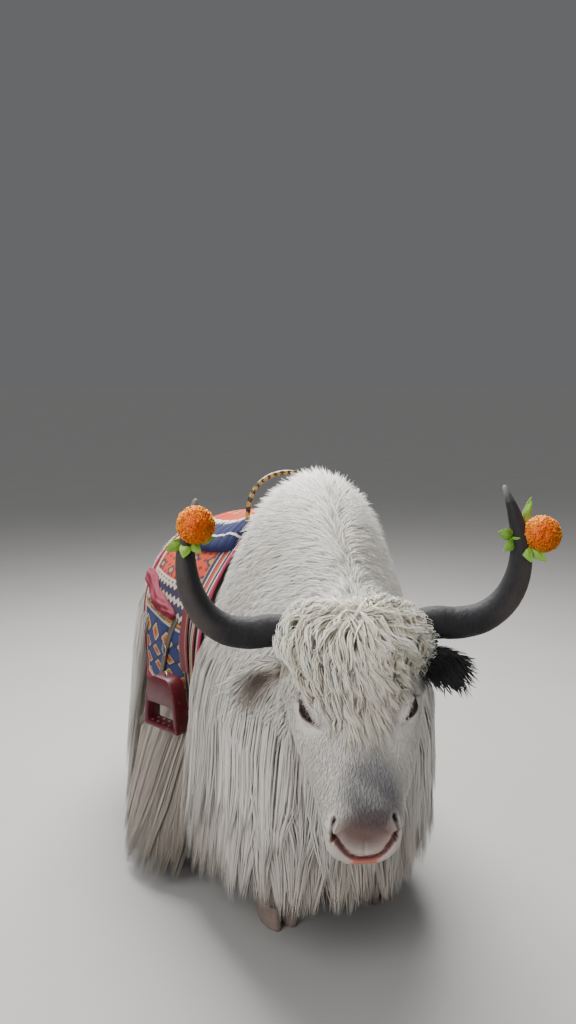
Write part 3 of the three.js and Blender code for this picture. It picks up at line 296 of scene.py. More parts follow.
def coat_line(share, side):
    """The line that the long coat hangs from: from the middle of the breast (0) to the tail (1)"""
    arc = math.pi / 2 * COAT_RADIUS
    straight = COAT_REAR_Y - COAT_FRONT_Y
    run = share * (2 * arc + straight)
    front = np.clip(run / COAT_RADIUS, 0, math.pi / 2)
    rear = np.clip((run - arc - straight) / COAT_RADIUS, 0, math.pi / 2)
    y = COAT_FRONT_Y + np.clip(run - arc, 0, straight)
    out = np.stack([side * np.sin(front) * np.cos(rear), np.sin(rear) - np.cos(front), 0 * run], -1)
    return y, out


def hanging_points(share, side, root_z, z, lift):
    """Points of the hanging coat: it follows the trunk down to its widest level, then hangs"""
    y, out = coat_line(share, side)
    wide = smooth_between(TRUNK, np.clip(y + out[:, 1] * 250, -390, 1110))[4]
    reach = trunk_reach(y, out, np.clip(wide, z, np.maximum(root_z, np.where(root_z > 560, 640, 0))))
    flare = smooth_between(COAT_HEM, share)[1] * np.clip(600 - z, 0, root_z - z) * (0.9 if side > 0 else 1.08)
    points = np.stack([0 * y, y, z], -1)
    return points + out * (reach + flare + lift)[:, None], out


def ear_points(share, degrees, lift):
    """Points of the left ear's wall, in the level frame: a leaf-shaped cup"""
    root, tip = np.array(EAR["root"], float), np.array(EAR["tip"], float)
    along = tip - root
    across = unit(np.cross(unit(along), EAR_BACK))
    width = np.interp(share, EAR_SHARES, EAR_WIDTHS)
    angle = np.radians(degrees)
    sideways = (EAR["width"] / 2 * width - (EAR["wall"] - lift) * 0.3) * np.sin(angle)
    backwards = (EAR["cup"] * width - EAR["wall"] + lift) * np.cos(angle)
    return root + along * share[..., None] + across * sideways[..., None] + EAR_BACK * backwards[..., None]


def rug_points(share, turn, lift):
    """Points over the back: share runs from the rug's front edge to its rear one, turn from its hem on
    the right (-1) over the spine (0) to its hem on the left (1)"""
    over = 1 - np.abs(turn)
    drop = np.maximum(0, 1 - over / HANGING_SHARE)
    y = RUG["front"] + (RUG["rear"] + (RUG["rear_hem"] - RUG["rear"]) * drop - RUG["front"]) * share
    _, top, _, half, wide, roundness = smooth_between(TRUNK, y)
    side = np.where(turn < 0, -1, 1)
    angle = np.clip((over - HANGING_SHARE) / (1 - HANGING_SHARE), 0, 1) * math.pi / 2
    c, s = np.maximum(np.cos(angle), 0), np.maximum(np.sin(angle), 0)
    lying = np.stack([side * (half + lift) * c ** (2 / roundness), y,
                      wide + (top - wide + lift) * s ** (2 / roundness)], -1)
    hung = np.stack([side * (half + lift), y, wide + (RUG["hem"] - wide) * drop], -1)
    return np.where((drop > 0)[..., None], hung, lying)


def flank_point(side, y, z, lift):
    """A point on the flank over the rug, at one level"""
    _, _, _, half, wide, _ = smooth_between(TRUNK, y)
    width = half if z < wide else half_width_at(TRUNK, y, z)[0]
    return np.array((side * (width + RUG["thick"] + lift), y, z))


def strap_path(side, strap, raised=0):
    """Points of a strap on the flank: it is straight, and leaves the rug's hem over the swell of the coat"""
    share = np.linspace(0, 1, STRAP_STEPS)
    y, z = (strap["from"][i] + (strap["to"][i] - strap["from"][i]) * share for i in (0, 1))
    below = np.maximum(0, (RUG["hem"] - z) / 130)
    lift = strap["lift"] + COAT_SWELL * below ** 1.3 + raised
    return np.array([flank_point(side, *place) for place in zip(y, z, lift)])


def ripple(points, size, seed):
    """A smooth repeatable unevenness over points, from -1 to 1"""
    draw = np.random.default_rng(seed)
    total = 0
    for octave in range(4):
        direction = unit(draw.normal(size=3)) * 2 * math.pi / (size * (0.6 + 0.35 * octave))
        total = total + np.sin(points @ direction + draw.uniform(0, 6.28)) * (1 - 0.15 * octave)
    return total / 2.8


def smoothstep(low, high, value):
    t = np.clip((value - low) / (high - low), 0, 1)
    return t * t * (3 - 2 * t)


def blob_distance(points, centre, half):
    """Distance from the middle of an ellipsoid, as a share of its radius there"""
    return np.linalg.norm((points - np.array(centre)) / np.array(half), axis=-1)


def blob(points, centre, half, edge):
    """1 inside an ellipsoid, falling to 0 past its edge"""
    return 1 - smoothstep(1 - edge, 1 + edge, blob_distance(points, centre, half))


# Colours of hide and hair, by place

# Markings of the face, in the head's frame, each over the one before: colour, middle, half size, softness of
# the edge and share of the colour, then the mean and the range of an unevenness, its size and its seed
MARKINGS = (
    ("slate", (17, -180, 10), (64, 88, 60), 0.45, 0.95, (0.86, 0.16, 90, 8)),
    ("smoke", (-92, -150, -50), (40, 110, 60), 0.35, 0.35, (0.6, 0.4, 60, 12)),
    ("nose_rim", (8, -268, -20), (72, 40, 60), 0.4, 0.8, (1, 0, 50, 9)),
    ("nose", (-6, -256, -8), (54, 34, 60), 0.5, 0.95, (0.95, 0.08, 50, 9)),
    ("mauve", (14, -232, 0), (60, 26, 40), 0.6, 0.6, (1, 0, 50, 9)),
)


def tone(name):
    """A colour of the hide, as set in the sidebar"""
    return np.array(getattr(bpy.context.scene.yak_hide, name))


def paint(colour, mask, name, share=1.0):
    """Colours with a colour of the hide laid over them"""
    mask = (np.clip(mask, 0, 1) * share)[..., None]
    return colour * (1 - mask) + tone(name) * mask


def is_head(points):
    """How far points are past the plane where the head starts, in millimetres"""
    return (points - np.array(HEAD_CUT["at"], float)) @ unit(np.array(HEAD_CUT["normal"]))


def ear_side(points):
    """1 for places on the left ear, -1 on the right ear and 0 elsewhere"""
    level = taken_back(LEVEL, points)
    on_ear = (np.abs(level[:, 0]) > 160) & (level[:, 2] < 118) & (level[:, 2] > -60) & (is_head(points) > -60)
    on_ear &= (level[:, 1] > 5) & (np.abs(level[:, 0]) < 270)
    return np.where(on_ear, np.sign(level[:, 0]), 0)


def hide_colour(points, hair=True):
    """The colour of hair, or of the hide under it, at places on the yak"""
    z = points[:, 2]
    patch = ripple(points, 170, 3)
    colour = np.broadcast_to(tone("white"), points.shape).copy()
    colour = paint(colour, 0.5 + 0.5 * ripple(points, 330, 5), "cream", 0.3)
    # Darker towards the floor: partly the tan and smoky colour of the long hair, partly painted shade on the lower
    # coat and its tips
    low = smoothstep(620, 180, z + 60 * patch)
    colour = paint(colour, low, "tan", 0.8)
    colour = paint(colour, smoothstep(360, 60, z + 40 * patch), "smoke", 0.78)
    face = taken_back(FACE, points)
    ahead = smoothstep(-10, 20, is_head(points))
    x, y, up = face[:, 0], face[:, 1], face[:, 2]
    colour = paint(colour, ahead * smoothstep(40, 110, y), "cream", 0.45)
    for name, centre, half, edge, share, (even, uneven, size, seed) in MARKINGS:
        mark = blob(face, centre, half, edge) * (even + uneven * ripple(points, size, seed))
        colour = paint(colour, ahead * mark, name, share)
    lip, beside = mouth_distance(face), np.abs(x - MOUTH["middle"])
    at_lips = ahead * smoothstep(-214, -236, y) * smoothstep(-118, -108, up)
    pale = at_lips * smoothstep(1, -5, lip)
    colour = paint(colour, pale, "chin", 0.9)
    colour = paint(colour, at_lips * np.exp(-((lip - 7) / 6) ** 2), "pink", 0.6)
    # The line of the mouth: dark red lip edges with painted shade in the parting of the lips, darkest along its
    # middle
    top = 6.5 + 1.5 * ripple(points, 26, 14) + 3.0 * smoothstep(30, 62, beside)
    line = at_lips * smoothstep(top, top - 3, lip) * smoothstep(72, 65, beside)
    colour = paint(colour, line * smoothstep(-7.5, -4.5, lip), "mouth_line_and_shade", 0.97)
    colour = paint(colour, line * smoothstep(-1.0, 2.0, lip), "black", 0.72)
    low_lip = pale * smoothstep(40, 22, beside + 5 * ripple(points, 18, 16)) * smoothstep(-296, -303, y)
    colour = paint(colour, low_lip, "lower_lip", 0.85)
    for side in (1, -1):
        along, across, out = slit_place(face, side)
        opening = EYE["height"] / 2 * (1 - np.clip(np.abs(along) / (EYE["length"] / 2 + 4), 0, 1) ** 2)
        lid = ahead * (out > -10) * smoothstep(12, 3, np.abs(across) - opening) * smoothstep(46, 32, np.abs(along))
        colour = paint(colour, lid, "lid", 0.3 if hair else 0.8)
        if not hair:
            colour = paint(colour, lid * smoothstep(4.5, 2.0, np.abs(across) - opening), "black", 0.9)
            # Painted shade inside the nostrils
            away = np.linalg.norm(face - nostril_at(side) - (0, 10, -12), axis=-1)
            colour = paint(colour, ahead * smoothstep(13, 7, away), "black", 0.9)
    ear = ear_side(points)
    level = taken_back(LEVEL, points)
    colour = paint(colour, (ear > 0).astype(float), "black")
    colour = paint(colour, blob(level, (165, 60, 55), (46, 46, 46), 0.3), "black")
    if not hair:
        inner = (ear < 0) * blob(level, (-178, 54, 58), (52, 60, 28), 0.5)
        colour = paint(colour, inner, "ear_inside", 0.9)
    return np.clip(colour, 0, 1)


# Finishes

def joined_by(operation, swapped=False):
    """A method of sockets: a Math node of one or two values"""
    return lambda one, other=None: one.sum(operation, other, swapped)


class Value:
    """A socket of a finish, which takes part in plain expressions"""

    def __init__(self, finish, socket):
        self.finish = finish
        self.socket = socket

    def sum(self, operation, other=None, swapped=False):
        pair = (other, self) if swapped else (self, other)
        values = {i: value for i, value in enumerate(pair) if value is not None}
        return self.finish.node("Math", {"operation": operation}, values)

    __add__ = __radd__ = joined_by("ADD")
    __mul__ = __rmul__ = joined_by("MULTIPLY")
    __sub__ = joined_by("SUBTRACT")
    __rsub__ = joined_by("SUBTRACT", swapped=True)
    __truediv__ = joined_by("DIVIDE")
    __pow__ = joined_by("POWER")
    __gt__ = joined_by("GREATER_THAN")
    __lt__ = joined_by("LESS_THAN")
    __abs__ = joined_by("ABSOLUTE")


class Finish:
    """A procedural material: its nodes are made from expressions"""

    def __init__(self, name, roughness, metallic=0.0, sheen=0.0, coat=0.0):
        self.material = bpy.data.materials.new(name)
        self.material.use_nodes = True
        self.tree = self.material.node_tree
        self.shader = self.tree.nodes["Principled BSDF"]
        for key, value in (("Roughness", roughness), ("Metallic", metallic), ("Sheen Weight", sheen),
                           ("Coat Weight", coat), ("Coat Roughness", 0.25)):
            self.shader.inputs[key].default_value = value

    def node(self, kind, settings=None, values=None, output=0):
        made = self.tree.nodes.new("ShaderNode" + kind)
        for key, value in (settings or {}).items():
            setattr(made, key, value)
        for key, value in (values or {}).items():
            if isinstance(value, Value):
                self.tree.links.new(value.socket, made.inputs[key])
            else:
                made.inputs[key].default_value = value
        return Value(self, made.outputs[output])

    def place(self):
        return self.node("TexCoord", output="Object")

    def attribute(self, name, output="Fac"):
        return self.node("Attribute", {"attribute_name": name}, output=output)

    def across(self, name="weave"):
        """The two directions of a pattern laid on a piece"""
        made = self.tree.nodes.new("ShaderNodeSeparateXYZ")
        self.tree.links.new(self.node("UVMap", {"uv_map": name}).socket, made.inputs[0])
        return Value(self, made.outputs[0]), Value(self, made.outputs[1])

    def noise(self, scale, detail, at=None):
        values = {"Vector": at or self.place(), "Scale": scale, "Detail": detail, "Roughness": 0.55}
        return self.node("TexNoise", values=values)

    def cells(self, scale):
        """Distance from the edges of small cells, for a grain"""
        values = {"Vector": self.place(), "Scale": scale}
        return self.node("TexVoronoi", {"feature": "DISTANCE_TO_EDGE"}, values)

    def mix(self, factor, one, other, blend="MIX"):
        return self.node("Mix", {"data_type": "RGBA", "blend_type": blend},
                         {0: factor, 6: colour4(one), 7: colour4(other)}, output=2)

    def scaled(self, scale):
        """The piece's own coordinates, stretched"""
        return self.node("Mapping", values={"Vector": self.place(), "Scale": scale})

    def done(self, colour, roughness=None, bump=None, depth=0.5, distance=0.002):
        """Joins colour, roughness and relief to the shader"""
        relief = bump and self.node("Bump", values={"Height": bump, "Strength": depth, "Distance": distance})
        for key, value in (("Base Color", colour), ("Roughness", roughness), ("Normal", relief)):
            if value is not None:
                self.tree.links.new(value.socket, self.shader.inputs[key])


def colour4(value):
    """A colour for a socket, unless it is a socket itself"""
    return value if isinstance(value, Value) else (*map(float, value), 1.0)


def coat_finish():
    finish = Finish("coat_hair", roughness=0.6, sheen=0.04)
    tint = finish.attribute("tint", "Color")
    fine = finish.noise(700, 2)
    shade = finish.mix(fine, (0.80, 0.79, 0.78), (1.16, 1.16, 1.15))
    finish.done(finish.mix(1.0, tint, shade, "MULTIPLY"), bump=fine, depth=0.15, distance=0.001)


def hide_finish():
    finish = Finish("hide", roughness=0.6)
    tint = finish.attribute("tint", "Color")
    wet = finish.attribute("bare")
    grain = finish.cells(420)
    fine = finish.noise(260, 4)
    colour = finish.mix(1.0, tint, finish.mix(fine, (0.66, 0.64, 0.62), (1.15, 1.12, 1.1)), "MULTIPLY")
    finish.done(colour, 0.72 - wet * 0.3, grain * 0.6 + fine * 0.5, 0.5, 0.0012)


def finish_for(name):
    """The finish of that name, which is made when it is first needed"""
    if name not in bpy.data.materials:
        FINISHES[name]()
    return bpy.data.materials[name]


# Making pieces

def linked(name, data):
    """A new object in the scene"""
    made = bpy.data.objects.new(name, data)
    bpy.context.scene.collection.objects.link(made)
    return made


def put(name, mesh, finish, replaced=(), smooth=True):
    """A finished piece: into the frame, riding on the body, with its finish and what it stands for"""
    mesh.transform(INTO_FRAME)
    if smooth:
        mesh.shade_smooth()
    made = linked(name, mesh)
    mesh.materials.clear()
    mesh.materials.append(finish_for(finish))
    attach(made, "root")
    if replaced:
        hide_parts(*replaced)
    return made


def mesh_of(bm, name):
    """A bmesh as a mesh, with its faces turned outwards"""
    bmesh.ops.recalc_face_normals(bm, faces=bm.faces)
    mesh = bpy.data.meshes.new(name)
    bm.to_mesh(mesh)
    bm.free()
    return mesh


def applied(mesh, modifiers, group=()):
    """A mesh with modifiers applied, each given as its kind and its settings. They can use a vertex group
    with the name "group"."""
    worked = linked("worked", mesh)
    if group:
        worked.vertex_groups.new(name="group").add(group, 1.0, "REPLACE")
    for kind, settings in modifiers:
        modifier = worked.modifiers.new(kind.lower(), kind)
        for key, value in settings.items():
            setattr(modifier, key, value)
    view = bpy.context.evaluated_depsgraph_get()
    made = bpy.data.meshes.new_from_object(worked.evaluated_get(view))
    bpy.data.objects.remove(worked)
    return made


def loft(bm, rings, caps=True):
    """A skin through rings of the same number of points, closed over both ends"""
    loops = []
    for ring in rings:
        verts = bmesh.ops.create_circle(bm, segments=len(ring), radius=1.0)["verts"]
        for vert, place in zip(verts, ring):
            vert.co = place
        loops.append(list({edge for vert in verts for edge in vert.link_edges}))
    for one, other in zip(loops, loops[1:]):
        bmesh.ops.bridge_loops(bm, edges=one + other)
    if caps:
        bmesh.ops.contextual_create(bm, geom=loops[0])
        bmesh.ops.contextual_create(bm, geom=loops[-1])


def lofted(name, *skins):
    """A mesh of one or more lofts"""
    bm = bmesh.new()
    for rings in skins:
        loft(bm, rings)
    return mesh_of(bm, name)


def ball(bm, centre, half, matrix=None, detail=3):
    """An ellipsoid, in the frame of the head if that is given"""
    place = Matrix.Translation(centre) @ Matrix.Diagonal((*half, 1))
    if matrix is not None:
        place = Matrix(matrix.tolist()) @ place
    bmesh.ops.create_icosphere(bm, subdivisions=detail, radius=1.0, matrix=place)


def around(count):
    """Even angles round a full turn"""
    return np.linspace(0, 2 * math.pi, count, endpoint=False)


def ring_across(centre, along, side, half_side, half_up, count, half_down=None):
    """A ring of an ellipse across a path"""
    side = unit(side - along * (side @ along))
    up = np.cross(along, side)
    angle = around(count)
    reach = np.where(np.sin(angle) > 0, half_up, half_up if half_down is None else half_down)
    return centre + np.outer(half_side * np.cos(angle), side) + np.outer(reach * np.sin(angle), up)


def directions(points):
    """The direction of a path at each of its points"""
    before = np.concatenate([points[..., :1, :], points[..., :-1, :]], -2)
    after = np.concatenate([points[..., 1:, :], points[..., -1:, :]], -2)
    return unit(after - before)


def rod_rings(points, radii, count, side=(0, 0, 1)):
    """Rings along a path, each turned as little as possible from the one before"""
    side = np.array(side, float)
    rings = []
    for centre, along, radius in zip(points, directions(points), np.broadcast_to(radii, len(points))):
        side = unit(side - along * (side @ along))
        rings.append(ring_across(centre, along, side, radius, radius, count))
    return rings


def smooth_path(points, count):
    """Points at even steps of index on a smooth curve through the given ones"""
    rows = np.column_stack([np.arange(len(points)), points]).astype(float)
    return smooth_between(rows, np.linspace(0, len(points) - 1, count)).T


def read(items, key, size=1, kind=float):
    """One property of all the vertices, corners or triangles of a mesh, in rows if it has more than one value"""
    values = np.zeros(len(items) * size, kind)
    items.foreach_get(key, values)
    return values.reshape(-1, size) if size > 1 else values


def points_of(mesh):
    return read(mesh.vertices, "co", 3)


def set_points(mesh, points):
    mesh.vertices.foreach_set("co", np.asarray(points, np.float32).ravel())
    mesh.update()


def colour_piece(mesh, colours):
    """A colour for each vertex, which finishes read as its tint"""
    layer = mesh.color_attributes.new("tint", "FLOAT_COLOR", "POINT")
    whole = np.concatenate([colours, np.ones((len(colours), 1))], -1)
    layer.data.foreach_set("color", whole.astype(np.float32).ravel())


def lay_values(mesh, name, values):
    """A number for each vertex, for a finish to read"""
    layer = mesh.attributes.new(name, "FLOAT", "POINT")
    layer.data.foreach_set("value", np.asarray(values, np.float32))


def lay_pattern(mesh, values, name="weave"):
    """Gives each vertex its place on a pattern"""
    layer = mesh.uv_layers.new(name=name)
    corners = read(mesh.loops, "vertex_index", kind=np.int32)
    layer.data.foreach_set("uv", np.asarray(values, np.float32)[corners].ravel())


def flat_grid(columns, rows):
    """A grid from -1 to 1 both ways, to be bent"""
    sheet = bmesh.new()
    bmesh.ops.create_grid(sheet, x_segments=columns, y_segments=rows, size=1.0)
    return sheet


def add_part(bm, part):
    """Adds another bmesh to one"""
    mesh = bpy.data.meshes.new("part")
    part.to_mesh(mesh)
    part.free()
    bm.from_mesh(mesh)
    bpy.data.meshes.remove(mesh)


# The skin

COAT_DEPTH = 26
FACE_DEPTH = 4
LEG_DEPTH = 5


def add_flesh(bm):
    """All of the flesh as closed shells that run into each other"""
    loft(bm, [section_points(TRUNK, y, around(56), -COAT_DEPTH) for y in np.linspace(-400, 1112, 56)])
    loft(bm, [placed(FACE, section_points(HEAD, y, around(48), -FACE_DEPTH)) for y in np.linspace(205, -319, 46)])
    neck = []
    for x, y, z, turn, *reach in smooth_path(NECK, 16):
        yaw = math.radians(turn)
        side = np.array((math.cos(yaw), -math.sin(yaw), 0))
        along = np.array((-math.sin(yaw), -math.cos(yaw), 0))
        half, up, down = (r - COAT_DEPTH for r in reach)
        neck.append(ring_across(np.array((x, y, z)), along, side, half, up, 44, down))
    loft(bm, neck)
    ball(bm, WOOL_DOME["centre"], [half - 20 for half in WOOL_DOME["half"]], FACE, 4)
    tail = smooth_path(np.column_stack([0 * TAIL[:, 0], TAIL]), 18)
    loft(bm, rod_rings(tail[:, :3], tail[:, 3] - 16, 20, side=(1, 0, 0)))
    for side in (1, -1):
        for stations, y in ((LEG_FRONT, LEG_FRONT_Y), (LEG_HIND, LEG_HIND_Y)):
            rings = []
            for z in np.linspace(stations[0, 0], 58, 34):
                shift, half_x, half_y = smooth_between(stations, z)
                centre = np.array((side * LEG_X, y + shift, z))
                rings.append(ring_across(centre, np.array((0, 0, -1.0)), np.array((1.0, 0, 0)),
                                         half_x - LEG_DEPTH, half_y - LEG_DEPTH, 28))
            loft(bm, rings)
            low = stations[-2]
            for claw in (-1, 1):
                ball(bm, (side * LEG_X + claw * 20, y + low[1] + low[3] - 6, low[0] - 16), (12, 13, 18))
        add_brow_and_nose(bm, side)
        add_ear(bm, side)


def add_brow_and_nose(bm, side):
    """The brow, the cheekbone and the nostril of one side, and the lips"""
    x, y, z, radius = EYE["x"], EYE["y"], EYE["z"], EYE["radius"]
    ball(bm, (side * (x - 1), y, z - 1), (radius + 5, radius + 12, radius + 5), FACE)
    ball(bm, (side * (x - 10), y + 8, z + 20), (26, 44, 14), FACE)
    ball(bm, (side * (x - 14), y - 36, z - 26), (24, 62, 16), FACE)
    ball(bm, nostril_at(side) + (-7 * side, 8, -12), (26, 28, 22), FACE)
    for z_lip, ahead, radii in ((MOUTH["z"] + 13, 82, 14), (MOUTH["z"] - 14, 96, 13)):
        angle = np.linspace(-math.pi / 2, math.pi / 2, 15)
        y_lip = MOUTH["corner"] + 20 - np.cos(angle) * ahead
        line = np.stack([np.sin(angle) * 76 - 6, y_lip, 0 * angle + z_lip], -1)
        loft(bm, rod_rings(placed(FACE, line), radii * (0.6 + 0.4 * np.cos(angle)), 14))


def add_ear(bm, side):
    """An ear's wall: a sheet bent into a cup, then thickened"""
    sheet = flat_grid(22, 22)
    for vert in sheet.verts:
        share, degrees = (vert.co.x + 1) / 2, vert.co.y * 86
        point = ear_points(np.array([share]), degrees, 3.0)[0] * (side, 1, 1)
        vert.co = placed(LEVEL, point)
    bmesh.ops.recalc_face_normals(sheet, faces=sheet.faces)
    bmesh.ops.solidify(sheet, geom=sheet.faces[:], thickness=9.0)
    add_part(bm, sheet)


def slit_frame(side):
    """The directions along and across the slit between the lids, and outwards from the eye"""
    turn, tilt = math.radians(EYE_FORWARD), math.radians(EYE["tilt"])
    out = np.array((side * math.cos(turn), 0, math.sin(turn)))
    up = np.array((-side * math.sin(turn), 0, math.cos(turn)))
    back = np.array((0, 1.0, 0))
    along = -back * math.cos(tilt) + up * math.sin(tilt)
    across = back * math.sin(tilt) + up * math.cos(tilt)
    return np.array([along, across, out])


def slit_place(face, side):
    """Places along and across the slit between the lids, and outwards from the middle of the eye"""
    return ((face - eye_at(side)) @ slit_frame(side).T).T


def from_slit(places, side):
    """Places along, across and outwards of a slit, taken to the head's frame"""
    return places @ slit_frame(side) + eye_at(side)


def mouth_distance(face):
    """Distance from the line of the mouth: a deep curve on the front of the muzzle, level on its sides.
    It is above zero towards the nose."""
    x, y, z = face[:, 0] - MOUTH["middle"], face[:, 1], face[:, 2]
    bend = np.clip(np.abs(x) / 70, 0, 1.3)
    front = (y - (-311 + 54 * bend ** 2.6)) / np.sqrt(1 + (2.0 * bend ** 1.6) ** 2)
    side = z - (MOUTH["z"] + 32 * smoothstep(-234, -258, y))
    turned = smoothstep(-262, -252, y)
    return front * (1 - turned) + side * turned


def carved(points):
    """Skin points with the slits of the eyes, the lids' folds, the nostrils and the mouth pressed in"""
    face = taken_back(FACE, points)
    for side in (1, -1):
        along, across, out = slit_place(face, side)
        near = (out > 5) & (np.abs(along) < 60) & (np.abs(across) < 45)
        share = np.clip(np.abs(along) / (EYE["length"] / 2 + 3), 0, 1)
        opening = EYE["height"] / 2 * (1 - share ** 2)
        away = np.abs(across) - opening
        sink = -15 * smoothstep(2.2, -2.5, away) * smoothstep(1.0, 0.86, share)
        ends = smoothstep(1.35, 0.9, np.abs(along) / (EYE["length"] / 2))
        rim = 3.4 * np.exp(-((away - 4.5) / 3.0) ** 2) * ends
        fold = -2.4 * np.exp(-((away - 13) / 2.4) ** 2) * (across > 0) * smoothstep(1.5, 0.7, np.abs(along) / 30)
        tear = -3.0 * np.exp(-((along - 34) / 9) ** 2 - ((across + 2) / 4) ** 2)
        face += np.outer(np.where(near, sink + rim + fold + tear, 0), slit_frame(side)[2])
        hollow = face - nostril_at(side)
        wide, tall = hollow[:, 0] * side, hollow[:, 1] * 0.8 - hollow[:, 2] * 0.6
        bend = wide - 0.035 * (tall - 4) ** 2 + 2
        pit = np.sqrt((bend / 6) ** 2 + (tall / 11) ** 2)
        inside = (hollow[:, 2] > -34) & (np.abs(hollow[:, 1]) < 45)
        inward = np.array((-side * 0.25, 0.62, -0.74))
        depth = np.where(inside, 24 * smoothstep(1.15, 0.35, pit), 0)
        flare = np.where(inside, -3.5 * np.exp(-((pit - 1.45) / 0.3) ** 2), 0)
        face += np.outer(depth + flare, inward)
    level = mouth_distance(face)
    fore = smoothstep(MOUTH["corner"] + 6, MOUTH["corner"] - 10, face[:, 1]) * (face[:, 2] > -116)
    fore = fore * smoothstep(72, 64, np.abs(face[:, 0] - MOUTH["middle"]))
    groove = np.exp(-(level / 3.2) ** 2) * fore
    inward = unit(np.stack([face[:, 0] + 6, (face[:, 1] + 225) * 0.8, (face[:, 2] + 80) * 0.6], -1))
    below = np.exp(-((level + 9) / 6) ** 2) * fore
    above = np.exp(-((level - 8) / 5) ** 2) * fore
    face -= inward * (9 * groove - 3 * below - 1.5 * above)[:, None]
    philtrum = np.exp(-((face[:, 0] + 5) / 4) ** 2) * smoothstep(-262, -292, face[:, 1]) * (level > 6)
    face[:, 1] += 3.2 * philtrum
    return placed(FACE, face)


def finer(mesh, chosen):
    """A mesh with its chosen places cut finer"""
    bm = bmesh.new()
    bm.from_mesh(mesh)
    points = np.array([v.co for v in bm.verts])
    keep = chosen(points)
    bm.verts.ensure_lookup_table()
    edges = [e for e in bm.edges if keep[e.verts[0].index] and keep[e.verts[1].index]]
    bmesh.ops.subdivide_edges(bm, edges=edges, cuts=1, use_grid_fill=True)
    bmesh.ops.triangulate(bm, faces=[f for f in bm.faces if len(f.verts) > 4])
    bm.to_mesh(mesh)
    bm.free()


def near_eyes_and_nose(points):
    face = taken_back(FACE, points)
    chosen = (face[:, 1] < -215) & (is_head(points) > 0)
    for side in (1, -1):
        along, across, out = slit_place(face, side)
        chosen |= (np.abs(along) < 46) & (np.abs(across) < 32) & (out > -25)
    return chosen


def unwrap(piece):
    """An unwrap of the piece's own shape"""
    bpy.context.view_layer.objects.active = piece
    bpy.ops.object.mode_set(mode="EDIT")
    bpy.ops.mesh.select_all(action="SELECT")
    bpy.ops.uv.smart_project(angle_limit=math.radians(70), island_margin=0.002)
    bpy.ops.object.mode_set(mode="OBJECT")
    piece.data.uv_layers[0].name = "OFBake"


def make_skin():
    """The skin: evened out, coarser where the long coat hides it, with its features carved in"""
    bm = bmesh.new()
    add_flesh(bm)
    rough = mesh_of(bm, "flesh")
    even = applied(rough, [
        ("REMESH", {"mode": "VOXEL", "voxel_size": 5.0, "use_smooth_shade": True}),
        ("SMOOTH", {"factor": 0.5, "iterations": 4}),
    ])
    bpy.data.meshes.remove(rough)
    points = points_of(even)
    hidden = np.nonzero((is_head(points) < 8) & (ear_side(points) == 0))[0]
    skin = applied(even, [("DECIMATE", {"ratio": 0.17, "vertex_group": "group"})], hidden.tolist())
    finer(skin, near_eyes_and_nose)
    set_points(skin, carved(points_of(skin)))
    points = points_of(skin)
    colour_piece(skin, hide_colour(points, hair=False))
    face = taken_back(FACE, points)
    lay_values(skin, "bare", smoothstep(-235, -265, face[:, 1]) * (face[:, 2] > -112) * (is_head(points) > 0))
    skin.name = "skin"
    paired = ("ear", "torso_front", "torso_rear", "leg_front", "leg_hind")
    replaced = ["head", "neck", "tail"] + [f"{part}_{name}" for name in SIDES for part in paired]
    unwrap(put("skin", skin, "hide", replaced))


# The coat: thousands of small solid tufts

# Size of a tuft's patch of the unwrap, and the most triangles in one piece of coat
TUFT_PATCH = 0.003
MOST_TRIANGLES = 190000


def tuft_faces(rings):
    """The triangles of one tuft: rings of three corners, a closed root and a tip"""
    faces = [(0, 2, 1)]
    for r in range(rings - 1):
        for i in range(3):
            a, b = 3 * r + i, 3 * r + (i + 1) % 3
            faces += [(a, b, b + 3), (a, b + 3, a + 3)]
    last = 3 * (rings - 1)
    faces += [(last + i, last + (i + 1) % 3, 3 * rings) for i in range(3)]
    return np.array(faces)


def tuft_shape(paths, outs, widths, thick, fullness):
    """The corners of tufts along paths: flat towards the skin and ridged away from it"""
    alongs = directions(paths)
    across = unit(np.cross(alongs, outs[:, None, :]))
    away = np.cross(across, alongs)
    half = (widths[:, None] / 2 * fullness[None, :])[..., None]
    ring = np.stack([paths - across * half, paths + away * half * thick, paths + across * half], 2)
    count, steps = paths.shape[:2]
    rings = ring[:, :-1].reshape(count, 3 * (steps - 1), 3)
    return np.concatenate([rings, paths[:, -1:]], 1)


def coat_mesh(name, corners, faces, tints, shades, uv):
    """One mesh of tufts, each with its own tint, its shade along it, and its patch of the unwrap"""
    count, size = corners.shape[:2]
    mesh = bpy.data.meshes.new(name)
    mesh.vertices.add(count * size)
    mesh.vertices.foreach_set("co", corners.astype(np.float32).ravel())
    index = (faces[None] + size * np.arange(count)[:, None, None]).reshape(-1)
    mesh.loops.add(len(index))
    mesh.loops.foreach_set("vertex_index", index.astype(np.int32))
    mesh.polygons.add(len(index) // 3)
    mesh.polygons.foreach_set("loop_start", np.arange(0, len(index), 3, dtype=np.int32))
    mesh.update(calc_edges=True)
    colours = np.clip(tints[:, None, :] * shades[None, :, None], 0, 1).reshape(-1, 3)
    colour_piece(mesh, colours)
    local = np.arange(size)
    spread = np.stack([(local % 3) / 2 - 0.5, local / (size - 1) - 0.5], -1) * TUFT_PATCH
    patch = uv[:, None, :] + spread[None]
    layer = mesh.uv_layers.new(name="OFBake")
    layer.data.foreach_set("uv", patch.reshape(-1, 2)[index].astype(np.float32).ravel())
    return mesh


def soften(mesh, outs, size, share):
    """Turns the shading of each tuft part of the way to the lie of the coat under it"""
    mesh.shade_smooth()
    own = read(mesh.vertices, "normal", 3, np.float32)
    blended = unit(own * (1 - share) + np.repeat(outs, size, 0) * share)
    mesh.normals_split_custom_set_from_vertices(blended.astype(np.float32))


